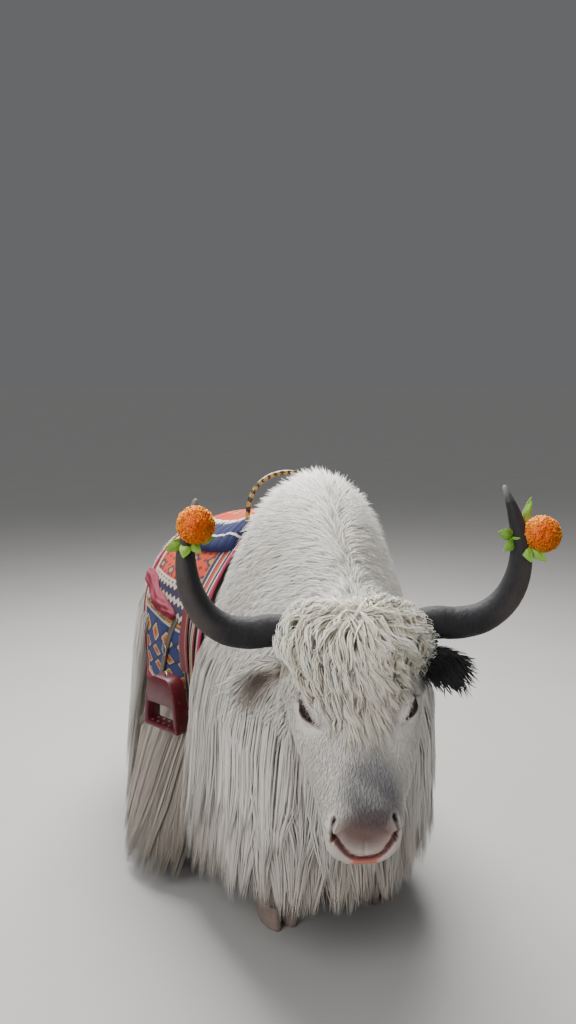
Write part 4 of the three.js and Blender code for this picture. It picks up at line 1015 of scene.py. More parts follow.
def put_tufts(name, paths, outs, widths, tints, uv, finish="coat_hair", thick=0.3, root_shade=0.8,
              tip_shade=1.04, soft=0.6):
    """Pieces of tufts along paths, as many as their number of triangles needs"""
    steps = paths.shape[1]
    share = np.linspace(0, 1, steps)
    fullness = np.minimum(0.7 + 2 * share, 1.15 - 0.75 * share ** 1.3)
    faces = tuft_faces(steps - 1)
    corners = tuft_shape(paths, outs, widths, thick, fullness)
    # Painted shade and light along each tuft: darker at its root among the other tufts, lighter towards its tip
    ring_shades = root_shade + (tip_shade - root_shade) * share ** 0.7
    shades = np.concatenate([np.repeat(ring_shades[:-1], 3), ring_shades[-1:]])
    pieces = -(-len(paths) * len(faces) // MOST_TRIANGLES)
    order = np.argsort(paths[:, 0, 1], kind="stable")
    for i, part in enumerate(np.array_split(order, pieces)):
        label = name if pieces == 1 else f"{name}_{i + 1}"
        mesh = coat_mesh(label, corners[part], faces, tints[part], shades, uv[part])
        soften(mesh, outs[part], corners.shape[1], soft)
        put(label, mesh, finish, smooth=False)


class Skin:
    """The skin's triangles, for coats to grow from"""

    def __init__(self):
        mesh = bpy.data.objects["skin"].data
        mesh.calc_loop_triangles()
        self.points = points_of(mesh) * 1000 - np.array(SHIFT)
        self.normals = read(mesh.vertices, "normal", 3)
        self.corners = read(mesh.loop_triangles, "vertices", 3, np.int32)
        loops = read(mesh.loop_triangles, "loops", 3, np.int32)
        self.uv = read(mesh.uv_layers["OFBake"].data, "uv", 2)[loops]
        a, b, c = (self.points[self.corners[:, i]] for i in range(3))
        self.areas = np.linalg.norm(np.cross(b - a, c - a), axis=1) / 2
        self.centres = (a + b + c) / 3
        self.facing = unit(np.cross(b - a, c - a))

    def roots(self, per_square_cm, weights, draw):
        """Scattered roots: their places, their normals and their places on the unwrap"""
        mass = self.areas / 100 * per_square_cm * np.clip(weights, 0, None)
        total = np.cumsum(mass)
        count = int(total[-1])
        picked = np.searchsorted(total, draw.uniform(0, total[-1], count))
        picked = np.minimum(picked, len(mass) - 1)
        u, v = draw.uniform(size=(2, count))
        turned = u + v > 1
        u, v = np.where(turned, 1 - u, u), np.where(turned, 1 - v, v)
        share = np.stack([1 - u - v, u, v], -1)
        corners = self.corners[picked]
        points = np.einsum("nk,nkd->nd", share, self.points[corners])
        normals = unit(np.einsum("nk,nkd->nd", share, self.normals[corners]))
        return points, normals, np.einsum("nk,nkd->nd", share, self.uv[picked])

    def nearest_uv(self, points, chosen):
        """The unwrap's place of the nearest of the chosen triangles to each point"""
        index = np.nonzero(chosen)[0]
        tree = KDTree(len(index))
        for i in index:
            tree.insert(self.centres[i], int(i))
        tree.balance()
        found = [tree.find(p)[1] for p in points]
        return self.uv[found].mean(1)


@cache
def the_skin():
    """The skin, read once"""
    return Skin()


def grown(points, normals, flow, length, start, end, steps, sink, draw):
    """Paths of tufts that leave the skin at one angle from its normal and bend over to another"""
    lying = unit(flow - normals * np.sum(normals * flow, -1, keepdims=True))
    side = np.cross(normals, lying)
    swing = np.radians(draw.normal(0, 9, len(points)))[:, None]
    lying = lying * np.cos(swing) + side * np.sin(swing)
    draw.uniform(size=len(points))  # the coats' later draws follow this one
    place = points - normals * sink
    paths = [place]
    for i in range(steps - 1):
        angle = np.radians(start + (end - start) * (i / max(steps - 2, 1)))
        angle = np.broadcast_to(angle, (len(points),))[:, None]
        heading = normals * np.cos(angle) + lying * np.sin(angle)
        place = place + heading * (length / (steps - 1))[:, None]
        paths.append(place)
    return np.stack(paths, 1)


def varied(points, draw, amount=0.06):
    """The colour of each tuft"""
    tint = hide_colour(points) * (1 + draw.normal(0, amount, (len(points), 1)))
    return tint * (1 + draw.normal(0, 0.012, (len(points), 3)))


def under_rug(points):
    """True for places that the rug covers"""
    _, _, _, _, wide, _ = smooth_between(TRUNK, points[:, 1])
    drop = np.clip((wide - points[:, 2]) / (wide - RUG["hem"]), 0, 1)
    rear = RUG["rear"] + (RUG["rear_hem"] - RUG["rear"]) * drop
    y, z = points[:, 1], points[:, 2]
    return (y > RUG["front"] + RUG_MARGIN) & (y < rear - RUG_MARGIN) & (z > RUG["hem"])


def on_tail(points):
    return (points[:, 1] > 1128) & (np.abs(points[:, 0]) < 75)


def on_leg(points):
    belly = smooth_between(TRUNK, points[:, 1])[2]
    return points[:, 2] < belly + 12


def body_coat():
    """The coat of the hump, the back, the flanks, the breast and the neck"""
    skin, draw = the_skin(), np.random.default_rng(21)
    c = skin.centres
    weights = np.where((is_head(c) > 12) | on_tail(c) | on_leg(c) | under_rug(c), 0, 1.0)
    weights *= np.where(skin.facing[:, 2] < -0.6, 0.3, 1.0)
    weights *= 1 + 0.5 * smoothstep(150, -200, c[:, 1])
    weights *= 1 - 0.68 * smoothstep(800, 740, c[:, 2]) * (c[:, 1] > -300)
    points, normals, uv = skin.roots(bpy.context.scene.yak_coat.body_density, weights, draw)
    z = points[:, 2]
    ontop = np.clip(normals[:, 2], 0, 1)[:, None] ** 2
    flow = np.array((0.0, 0.4, -1.0)) * (1 - ontop) + np.array((0.0, 1.0, -0.25)) * ontop
    flow = flow + 0.22 * np.stack([ripple(points, 260, 31), ripple(points, 240, 32), 0 * z], -1)
    hump = smoothstep(1080, 1260, z) * smoothstep(330, 120, points[:, 1])
    hanging = smoothstep(980, 640, z) * smoothstep(0.75, 0.2, np.abs(normals[:, 2]))
    length = 48 + 16 * hump + 62 * hanging + 12 * smoothstep(-330, -450, points[:, 1])
    length *= draw.uniform(0.75, 1.25, len(points))
    near_rug = np.minimum(np.abs(points[:, 1] - RUG["front"]), np.abs(points[:, 1] - RUG["rear"]))
    length *= 1 - 0.4 * smoothstep(70, 10, near_rug) * (z > RUG["hem"])
    start = 38 - 16 * hump + draw.normal(0, 7, len(points))
    end = 82 - 20 * hump + 8 * hanging + draw.normal(0, 5, len(points))
    paths = grown(points, normals, flow, length, start, end, 3, 5, draw)
    put_tufts("coat_body", paths, normals, draw.uniform(2.8, 4.6, len(points)), varied(points, draw), uv)


def face_coat():
    """The short hair of the face and the jaws, shortest at the muzzle and round the eyes"""
    skin, draw = the_skin(), np.random.default_rng(22)
    face = taken_back(FACE, skin.centres)
    weights = np.where((is_head(skin.centres) < -6) | (ear_side(skin.centres) != 0), 0, 1.0)
    pad = blob(face, (-8, -276, -30), (60, 34, 46), 0.25)
    lips = smoothstep(-214, -240, face[:, 1]) * smoothstep(16, 9, mouth_distance(face)) * (face[:, 2] > -118)
    lips *= smoothstep(-13, -7, mouth_distance(face) + 14 * (np.abs(face[:, 0]) < 42))
    weights *= (1 - pad) * (1 - lips)
    for side in (1, -1):
        along, across, out = slit_place(face, side)
        lids = blob(np.stack([along, across, 0 * along], -1), (0, 0, 0), (32, 15, 50), 0.12)
        weights *= 1 - lids * (out > -30)
        weights *= smoothstep(17, 26, np.linalg.norm(face - nostril_at(side), axis=1))
    points, normals, uv = skin.roots(bpy.context.scene.yak_coat.face_density, weights, draw)
    haired = hide_colour(points).mean(axis=1) > 0.08
    points, normals, uv = points[haired], normals[haired], uv[haired]
    face = taken_back(FACE, points)
    x, y, up = face.T
    flow = np.stack([0.35 * np.tanh(x / 60), -1 + 0 * y, -0.35 - 0.5 * smoothstep(0, -90, up)], -1)
    flow = flow + 0.18 * np.stack([ripple(face, 70, 41), 0 * y, ripple(face, 80, 42)], -1)
    crown = smoothstep(15, 70, y) * smoothstep(-130, -60, up)
    jaw = smoothstep(-85, -150, up) * smoothstep(-260, -120, y)
    short = smoothstep(-190, -280, y)
    length = (13.5 + 16 * crown + 16 * jaw - 7 * short) * draw.uniform(0.75, 1.25, len(points))
    eyes = sum(blob(face, eye_at(side), (45, 48, 34), 0.4) for side in (1, -1))
    length *= 1 - 0.62 * np.clip(eyes, 0, 1)
    flow = flow @ FACE[:3, :3].T
    paths = grown(points, normals, flow, length, 52 - 20 * crown, 86 - 12 * crown, 3, 1.5, draw)
    widths = draw.uniform(1.9, 3.0, len(points)) * (1 + 0.5 * crown - 0.25 * short)
    put_tufts("coat_face", paths, normals, widths, varied(points, draw, 0.05), uv, root_shade=0.84, tip_shade=1.02)


def leg_coat():
    """The short hair of the legs"""
    skin, draw = the_skin(), np.random.default_rng(23)
    c = skin.centres
    weights = np.where(on_leg(c) & (is_head(c) < 0) & (c[:, 2] > HOOF_TOP - 4), 1.0, 0)
    weights *= np.where(c[:, 2] > 420, 0.35, 1)
    points, normals, uv = skin.roots(bpy.context.scene.yak_coat.leg_density, weights, draw)
    length = (14 + 14 * smoothstep(180, 420, points[:, 2])) * draw.uniform(0.7, 1.3, len(points))
    cuff = smoothstep(120, 72, points[:, 2])
    length *= 1 + 0.7 * cuff
    stray = np.stack([ripple(points, 60, 51), ripple(points, 70, 52), 0 * length], -1)
    flow = np.array((0, 0.12, -1.0)) + 0.15 * stray
    paths = grown(points, normals, flow, length, 50, 84 - 12 * cuff, 3, 2, draw)
    put_tufts("coat_legs", paths, normals, draw.uniform(2.8, 4.4, len(points)), varied(points, draw), uv)


# Layers of the long coat, the lowest first: levels of the roots on the flank, on the breast and under
# the rug, lift over the layer beneath, how much sooner it ends and the number of locks on each side
SKIRT_LAYERS = (
    (600, 550, 520, 3, 0, 44), (690, 590, 578, 14, 12, 44), (790, 640, 590, 26, 30, 44), (870, 740, 0, 38, 190, 40),
)


def skirt_locks(name, side, seed):
    """The long hair of one side: locks of strands that draw together to their tips"""
    draw = np.random.default_rng(seed)
    strands = bpy.context.scene.yak_coat.lock_strands
    total = math.pi * COAT_RADIUS + COAT_REAR_Y - COAT_FRONT_Y
    steps = 6
    s = np.linspace(0, 1, steps)
    shares, root_levels, tip_levels, lifts, pulls, widths = [], [], [], [], [], []
    for flank, breast, covered, lift, short, count in SKIRT_LAYERS:
        at = np.linspace(0.0, 0.985, count) + draw.normal(0, 0.004, count)
        y, out = coat_line(np.clip(at, 0, 1), side)
        hidden = (y > RUG["front"] - 50) & (y < RUG["rear"] - 30) & (np.abs(out[:, 0]) > 0.95)
        if not covered:
            at, out, hidden = at[~hidden], out[~hidden], hidden[~hidden]
        forward = np.clip(-out[:, 1] * 1.5 - 0.3, 0, 1)
        root = np.where(hidden, covered, flank + (breast - flank) * forward) + draw.uniform(-14, 14, len(at))
        early = short * (1 if short < 100 else draw.uniform(0.6, 1.3, len(at)))
        tip = smooth_between(COAT_HEM, np.clip(at, 0, 1))[0] + early + draw.uniform(-12, 26, len(at))
        each = (len(at), strands)
        spread = draw.uniform(-1, 1, each)
        lock_width = draw.uniform(60, 92, len(at))[:, None]
        shares.append(at[:, None] + 0 * spread)
        pulls.append(spread * lock_width / 2)
        root_levels.append(root[:, None] + draw.uniform(-22, 22, each) * np.where(hidden, 0.2, 1)[:, None])
        tip_levels.append(tip[:, None] + 90 * draw.uniform(0, 1, each) ** 2.8)
        calm = np.where(hidden, 0.35, 1)[:, None]
        lifts.append(lift * calm + draw.normal(0, 2.5, (len(at), 1)) * calm + draw.uniform(-4, 6, each))
        widths.append(draw.uniform(2.5, 4.3, each))
    share, root, tip, lift, pull, width = (np.concatenate([a.ravel() for a in rows]) for rows in (
        shares, root_levels, tip_levels, lifts, pulls, widths))
    locks = len(share) // strands
    sway = np.repeat(draw.uniform(-13, 13, locks), strands)
    phase = np.repeat(draw.uniform(0, 6.28, locks), strands)
    z = root[:, None] + (tip - root)[:, None] * s[None]
    together = 1 - 0.8 * smoothstep(0.58, 1, s[None])
    offset = pull[:, None] * together + sway[:, None] * s[None] ** 2
    offset = offset + 6.0 * np.sin(phase[:, None] + 6.5 * s[None]) * s[None] + draw.normal(0, 2.6, (len(share), 1))
    rise = np.where(s[None] == 0, -14, np.minimum(1, s[None] * 2.6) * lift[:, None] + 1)
    flat = np.clip(share[:, None] + offset / total, 0, 1)
    points, outs = hanging_points(flat.ravel(), side, np.repeat(root, steps), z.ravel(), rise.ravel())
    paths = points.reshape(len(share), steps, 3)
    outs = outs.reshape(len(share), steps, 3)[:, steps // 2]
    roots = paths[:, 1]
    uv = the_skin().nearest_uv(roots, is_head(the_skin().centres) < 0)
    tint = varied(paths[:, steps // 2], draw, 0.045)
    lock_shade = 1 + np.repeat(draw.normal(0, 0.03, locks), strands)[:, None]
    put_tufts(name, paths, outs, width, tint * lock_shade, uv, root_shade=0.9, tip_shade=0.92, soft=0.75)


def ruff_locks():
    """Locks that hang from the sides and the underside of the neck and over the breast"""
    skin, draw = the_skin(), np.random.default_rng(25)
    c, n = skin.centres, skin.normals[skin.corners[:, 0]]
    weights = np.where((is_head(c) < -4) & (c[:, 1] < -250) & (c[:, 2] < 960), 1.0, 0)
    weights *= smoothstep(0.25, -0.3, n[:, 2])
    points, normals, _ = skin.roots(0.035, weights, draw)
    strands = 16
    count = len(points)
    out = unit(normals * (1, 1, 0) + 1e-6)
    along = np.cross(out, UP)
    length = draw.uniform(130, 215, count) * smoothstep(330, 560, points[:, 2] + 60)
    s = np.linspace(0, 1, 8)
    spread = draw.uniform(-1, 1, (count, strands)) * 34
    depth = draw.uniform(-1, 1, (count, strands)) * 14
    together = 1 - 0.8 * s ** 1.2
    sway = draw.uniform(-18, 18, count)
    base = points[:, None, None, :] + along[:, None, None, :] * (
        spread[..., None, None] * together[:, None] + sway[:, None, None, None] * s[:, None] ** 2)
    base = base + out[:, None, None, :] * (
        (np.minimum(1, 2.4 * s) * 20 - 12 * (s == 0))[:, None] + depth[..., None, None] * 0.4)
    reach = length[:, None] * (1 - 0.35 * draw.uniform(0, 1, (count, strands)) ** 2)
    paths = base - UP * (reach[..., None] * s)[..., None]
    paths = paths.reshape(-1, len(s), 3)
    outs = np.repeat(out, strands, 0)
    uv = skin.nearest_uv(paths[:, 0], is_head(skin.centres) < 0)
    put_tufts("coat_ruff", paths, outs, draw.uniform(3.4, 5.6, len(paths)), varied(paths[:, 3], draw), uv,
              root_shade=0.86, tip_shade=0.98)


def tail_locks():
    """The long hair of the tail"""
    skin, draw = the_skin(), np.random.default_rng(26)
    count, strands, steps = 64, 16, 9
    root_z = draw.uniform(590, 880, count)
    tip_z = np.clip(root_z - draw.uniform(260, 360, count), TAIL_TIP, 520) + draw.uniform(-10, 30, count)
    turn = draw.uniform(0, 6.28, count)
    s = np.linspace(0, 1, steps)
    each = (count, strands, 1)
    angle = turn[:, None, None] + draw.uniform(-0.5, 0.5, each) * (1 - 0.75 * s)
    z = root_z[:, None, None] + (tip_z - root_z)[:, None, None] * s + 50 * draw.uniform(0, 1, each) ** 2 * s
    rows = TAIL[::-1, [1, 0, 2]][:-1]
    y, radius = smooth_between(rows, np.maximum(z, TAIL[-1, 1]))
    narrow = np.clip((TAIL[-1, 1] - z) / 330, 0, 1)
    rise = np.where(s == 0, -16, 2 + 26 * np.minimum(1, 2 * s) * smoothstep(560, 860, root_z)[:, None, None])
    reach = radius * (1 - 0.6 * narrow) + rise + draw.uniform(-5, 5, each)
    out = np.stack([np.cos(angle), np.sin(angle), 0 * angle], -1)
    paths = (np.stack([0 * z, y, z], -1) + out * reach[..., None]).reshape(-1, steps, 3)
    outs = out[:, :, 4].reshape(-1, 3)
    uv = skin.nearest_uv(paths[:, 0], on_tail(skin.centres))
    put_tufts("coat_tail", paths, outs, draw.uniform(3.4, 5.8, len(paths)), varied(paths[:, 2], draw), uv,
              root_shade=0.86, tip_shade=0.95)


CROWN = np.array((0.0, 70, -45))
CROWN_POLE = unit(np.array((0.0, 0.42, 0.91)))
ABOVE_EYE = {"turn": 46, "spread": 15, "short": 12}
# Rows of the forelock: nearest and farthest root from the crown's pole, reach of the tips and half of the way
# round, in degrees, then lift and number of locks
CROWN_ROWS = (
    (-16, 22, 50, 180, 36, 120), (16, 40, 68, 150, 29, 96), (34, 58, 86, 100, 19, 84), (48, 66, 99, 46, 11, 40),
)
CROWN_BACK = 30
CROWN_WARMTH = np.array((1.06, 1.015, 0.93))


def head_reach(out):
    """How far the head and its dome of wool reach from the crown's middle, along directions"""
    def within(distance):
        x, y, z = (CROWN + out * distance[:, None]).T
        dome = blob_distance(np.stack([x, y, z], -1), **WOOL_DOME) < 1
        half, _ = half_width_at(HEAD, y, z)
        _, top, belly, *_ = smooth_between(HEAD, y)
        return dome | (np.abs(x) < half) & (y < 205) & (y > -322) & (z < top) & (z > belly)

    return reach_of(within, len(out), 400.0)


def forelock():
    """The curly wool of the crown, which falls over the brow and the temples"""
    skin, draw = the_skin(), np.random.default_rng(27)
    strands, steps = bpy.context.scene.yak_coat.crown_strands, 13
    s = np.linspace(0, 1, steps)
    paths, depths = [], []
    forward = np.array((0, -CROWN_POLE[2], CROWN_POLE[1]))
    for first, start, last, half_turn, lift, count in CROWN_ROWS:
        each, one = (count, strands, 1), (count, 1, 1)
        turn = np.linspace(-half_turn, half_turn, count)[:, None, None] + draw.normal(0, 5, one)
        over_eye = np.exp(-((np.abs(turn) - ABOVE_EYE["turn"]) / ABOVE_EYE["spread"]) ** 2) * (last < 90)
        begin = draw.uniform(first, start, one)
        end = last + draw.uniform(-9, 7, one) - ABOVE_EYE["short"] * over_eye
        lowest = 62 + 32 * np.exp(-((turn / 40) ** 2)) + 10 * smoothstep(100, 160, np.abs(turn))
        end = np.minimum(end, lowest)
        curls = draw.uniform(1.5, 2.6, one)
        phase = draw.uniform(0, 6.28, one) + draw.normal(0, 0.22, each)
        swing = draw.uniform(3.2, 6.4, one) * (0.25 + 0.75 * s)
        wide = draw.uniform(-1, 1, each) * 4.2 * (1 - 0.55 * s)
        far = s * (1 - 0.08 * draw.uniform(0, 1, each))
        bearing = np.radians(turn)
        first_ahead, last_ahead = begin * np.cos(bearing), end * np.cos(bearing)
        ahead = first_ahead - CROWN_BACK + (last_ahead - first_ahead + CROWN_BACK) * far
        aside = (begin + (end - begin) * far) * np.sin(bearing) + 9 * draw.normal(0, 1, one) * (1 - 0.6 * s)
        angle = np.hypot(ahead, aside) + draw.uniform(-1.6, 1.6, each) * (1 - 0.8 * s)
        waves = wide + swing * np.sin(2 * math.pi * curls * s + phase)
        heading = np.degrees(np.arctan2(aside, ahead)) + waves * np.sqrt(45 / np.maximum(angle, 18))
        angle_deg, angle, heading = angle, np.radians(angle), np.radians(heading)
        out = (CROWN_POLE * np.cos(angle)[..., None] + forward * (np.sin(angle) * np.cos(heading))[..., None]
               + np.array((1.0, 0, 0)) * (np.sin(angle) * np.sin(heading))[..., None])
        loose = draw.uniform(0, 1, each)
        sideways = np.abs(np.sin(np.radians(turn))) * np.exp(-((angle_deg - 52) / 26) ** 2)
        rise = (lift * (1 - 0.3 * s) + 30 * sideways) * (0.72 + 0.4 * loose) * np.minimum(1, 3 * s) - 4
        rise = rise + 8.5 * np.cos(2 * math.pi * curls * s + phase) * np.minimum(1, 3 * s)
        rise = np.where(s == 0, -26, rise)
        reach = head_reach(out.reshape(-1, 3)).reshape(out.shape[:-1]) + rise
        paths.append((CROWN + out * reach[..., None]).reshape(-1, steps, 3))
        depths.append((loose + draw.normal(0, 0.16, one)).reshape(-1))
    paths = np.concatenate(paths)
    outs = unit(paths[:, steps // 2] - CROWN)
    # Painted shade among the curls: strands lying lower in the wool are darker, loose raised ones lighter
    depth_shade = np.clip(0.72 + 0.45 * np.concatenate(depths)[:, None], 0.6, 1.2)
    paths, outs = placed(FACE, paths), outs @ FACE[:3, :3].T
    uv = skin.nearest_uv(paths[:, 0], is_head(skin.centres) > 0)
    # Painted light on the top of the forelock: the highest strands are made lighter
    height = paths[:, steps // 2, 2]
    high = smoothstep(np.quantile(height, 0.15), np.quantile(height, 0.85), height)[:, None]
    tints = varied(paths[:, steps // 2], draw, 0.05) * depth_shade * (0.9 + 0.34 * high) * CROWN_WARMTH
    put_tufts("coat_forelock", paths, outs, draw.uniform(2.2, 3.6, len(paths)), tints, uv,
              root_shade=0.64, tip_shade=1.12, thick=0.45, soft=0.45)


def ear_coat():
    """The hair of the ears: short outside, long along the lower rim and at the tip"""
    skin, draw = the_skin(), np.random.default_rng(28)
    side = ear_side(skin.centres)
    weights = np.where(side != 0, np.where(side > 0, 1.5, 1.7), 0)
    points, normals, uv = skin.roots(bpy.context.scene.yak_coat.ear_density, weights, draw)
    level = taken_back(LEVEL, points)
    flip = np.sign(level[:, 0])
    share = np.clip((np.abs(level[:, 0]) - EAR["root"][0]) / (EAR["tip"][0] - EAR["root"][0]), 0, 1)
    low = smoothstep(66, 20, level[:, 2])
    tip = smoothstep(0.62, 0.95, share)
    length = (19 + 24 * tip + 40 * low * smoothstep(0.1, 0.4, share)) * draw.uniform(0.7, 1.3, len(points))
    inside = normals @ LEVEL[:3, :3] @ EAR_BACK < -0.1
    length *= np.where(flip > 0, 0.74, np.where(inside, 1.7, 1.2))
    outward = np.stack([flip, 0 * share, -0.3 - 1.5 * low], -1) @ LEVEL[:3, :3].T
    paths = grown(points, normals, outward, length, 48, 82, 5, 1.5, draw)
    black = flip > 0
    tints = varied(points, draw)
    inner = (inside & ~black).astype(float)
    middle = blob(level, (-196, 54, 54), (34, 60, 22), 0.5)
    tints = paint(tints, np.maximum(inner, 0.35 * ~black) * middle, "ear_inside", 0.85)
    for name, chosen, slot in (("coat_ear_left", black, "black_hair"), ("coat_ear_right", ~black, "coat")):
        put_tufts(name, paths[chosen], normals[chosen], draw.uniform(2.0, 3.4, int(chosen.sum())),
                  tints[chosen], uv[chosen], root_shade=0.75)


# Horns, eyes and hooves

def horn_finish():
    finish = Finish("horn_sheath", roughness=0.5)
    along = finish.attribute("along")
    outer = finish.attribute("outer")
    streaks = finish.noise(9, 5, finish.scaled((14, 14, 3)))
    fine = finish.noise(140, 4, finish.scaled((1, 1, 0.35)))
    worn = finish.noise(26, 4)
    dark = finish.mix(streaks, (0.004, 0.004, 0.0055), (0.014, 0.012, 0.015))
    brown = outer * (0.35 + worn)
    colour = finish.mix(brown * 0.7, dark, (0.085, 0.070, 0.062))
    tip = (along - 0.93 + (worn - 0.5) * 0.12) * 12
    tip = tip.sum("MAXIMUM", 0.0).sum("MINIMUM", 1.0)
    colour = finish.mix(tip, colour, (0.30, 0.29, 0.27))
    finish.done(colour, roughness=0.56 + fine * 0.3, bump=streaks * 0.6 + fine * 0.8,
                       depth=0.6, distance=0.0025)


def make_horn(name, side):
    """A horn: smooth and round, with growth rings towards its root and a worn tip"""
    share = 1 if side > 0 else -HORN_RIGHT_SHARE
    rows = smooth_path(HORN, 96)
    path = placed(LEVEL, rows[:, :3] * (share, 1, 1))
    along = np.linspace(0, 1, len(rows))
    rings_near_root = 0.007 * np.sin(along * 96 + 2 * np.sin(along * 31)) * smoothstep(0.6, 0.15, along)
    radii = rows[:, 3] * (1.1 + rings_near_root + 0.008 * np.sin(along * 23))
    count = 40
    path = np.concatenate([path, path[-1] + directions(path)[-1] * np.array([[3.0], [5.0]])])
    radii = np.concatenate([radii, [3.4, 1.2]])
    mesh = lofted(name, rod_rings(path, radii, count))
    values = np.repeat(np.concatenate([along, [1, 1]]), count)
    lay_values(mesh, "along", values)
    away = taken_back(LEVEL, points_of(mesh)) - taken_back(LEVEL, np.repeat(path, count, 0))
    outer = smoothstep(-2, 22, away @ unit(np.array((side * 0.8, -0.5, -0.35)))) * smoothstep(0.34, 0.5, values)
    lay_values(mesh, "outer", outer)
    put(name.replace("horn", "horn_sheath"), mesh, "horn_sheath", [name])


def eye_finish():
    finish = Finish("eyeball", roughness=0.08, coat=0.6)
    x, y = finish.across("gaze")
    away = (x * x + y * y * 2.4) ** 0.5
    iris = finish.noise(60, 5)
    ring = (0.46 - away).sum("GREATER_THAN", 0.0)
    pupil = (0.2 - away).sum("GREATER_THAN", 0.0)
    iris = finish.mix(iris, (0.010, 0.005, 0.003), (0.032, 0.014, 0.007))
    colour = finish.mix(ring, (0.022, 0.012, 0.010), iris)
    finish.done(finish.mix(pupil, colour, (0.003, 0.003, 0.004)))


def make_eye(name, side):
    """An eyeball, deep in its lids"""
    bm = bmesh.new()
    place = Matrix(FACE.tolist()) @ Matrix.Translation(eye_at(side))
    bmesh.ops.create_uvsphere(bm, u_segments=40, v_segments=24, radius=EYE["radius"] - 0.4, matrix=place)
    mesh = mesh_of(bm, name)
    along, across, out = slit_place(taken_back(FACE, points_of(mesh)), side)
    gaze = np.stack([along, across], -1) / EYE["radius"]
    lay_pattern(mesh, np.where((out > 0)[:, None], gaze, 2.0), "gaze")
    put(name.replace("eye", "eyeball"), mesh, "eyeball", [name])


def lash_finish():
    finish = Finish("lash", roughness=0.6)
    finish.done(finish.mix(finish.noise(300, 2), (0.05, 0.035, 0.03), (0.20, 0.15, 0.12)))


def make_lashes():
    """The lashes of the upper lids"""
    draw = np.random.default_rng(41)
    paths = []
    s = np.linspace(0, 1, 5)
    for side in (1, -1):
        for t in np.linspace(-0.9, 0.8, 34):
            along = t * EYE["length"] / 2 + draw.normal(0, 0.6)
            across = EYE["height"] / 2 * (1 - t * t) + 2.5
            reach = draw.uniform(9, 14)
            spot = np.stack([along + t * 5 * s, across + 3 * s - 9 * s ** 2, EYE["radius"] + 1 + reach * s], -1)
            paths.append(placed(FACE, from_slit(spot, side)))
    paths = np.array(paths)
    outs = np.tile(FACE[:3, 2], (len(paths), 1))
    uv = the_skin().nearest_uv(paths[:, 0], is_head(the_skin().centres) > 0)
    put_tufts("lashes", paths, outs, np.full(len(paths), 0.9), np.ones((len(paths), 3)), uv, "lash", thick=0.9)


def hoof_finish():
    finish = Finish("hoof_horn", roughness=0.5)
    bands = finish.noise(5, 4, finish.scaled((4, 4, 42)))
    blotch = finish.noise(30, 4)
    colour = finish.mix(bands, (0.24, 0.165, 0.135), (0.46, 0.345, 0.29))
    colour = finish.mix(blotch * 0.5, colour, (0.16, 0.12, 0.10))
    finish.done(colour, roughness=0.42 + blotch * 0.3, bump=bands, depth=0.6, distance=0.002)


def make_hoof(name, side, y, shift):
    """A cloven hoof: two claws with worn edges, joined by the pad of the heel"""
    bm = bmesh.new()
    centre = np.array((side * LEG_X, y + shift, 0))
    levels = ((0.0, 0.93), (3, 0.985), (8, 1.0), (24, 1.015), (45, 0.965), (60, 0.91), (HOOF_TOP - 0.4, 0.87))
    c, s = np.cos(around(36)), np.sin(around(36))
    ahead = np.clip(-s, 0, 1)
    inner = HOOF["slit"] / 2
    half = (HOOF["half_x"] - inner) / 2
    pinch = 1 - 0.16 * ahead ** 2
    depth = HOOF["half_y"] * np.sign(s) * np.abs(s) ** 0.85
    for claw in (-1, 1):
        x = claw * (inner + half + half * np.sign(c) * np.abs(c) ** 0.8 * pinch - 3.0 * ahead)
        rings = []
        for z, size in levels:
            lean = HOOF["forward"] * (1 - z / HOOF_TOP)
            rings.append(centre + np.stack([x * (size + 0.03 * (z < 1)), depth * size - lean, 0 * x + z], -1))
        loft(bm, rings)
    ball(bm, centre + (0, 38, 30), (34, 24, 29))
    mesh = applied(mesh_of(bm, name), [
        ("REMESH", {"mode": "VOXEL", "voxel_size": 4.2}), ("SMOOTH", {"factor": 0.5, "iterations": 2}),
    ])
    points = points_of(mesh)
    points[:, 2] = np.clip(points[:, 2], 0, None)
    set_points(mesh, points)
    put(name.replace("hoof", "claws"), mesh, "hoof_horn", [name])


# Rug, pad and gear

YARNS = ("navy", "crimson", "ivory", "flame", "ochre", "blue", "rose")
# Stripes of the rug: from and to, as shares of the way to the hem or from the front edge to the rear one
HEM_STRIPES = ((0.452, 0.462, "ivory"), (0.598, 0.610, "ochre"), (0.615, 0.625, "ivory"), (0.93, 0.95, "ivory"))
EDGE_STRIPES = (
    (0.0, 0.035, "crimson"), (0.035, 0.055, "ivory"), (0.055, 0.085, "navy"), (0.085, 0.1, "ivory"),
    (0.1, 0.135, "flame"), (0.135, 0.15, "navy"), (0.15, 0.165, "ivory"), (0.165, 0.2, "navy"),
    (0.2, 0.21, "ochre"), (0.94, 0.97, "ivory"), (0.97, 1.1, "crimson"),
)


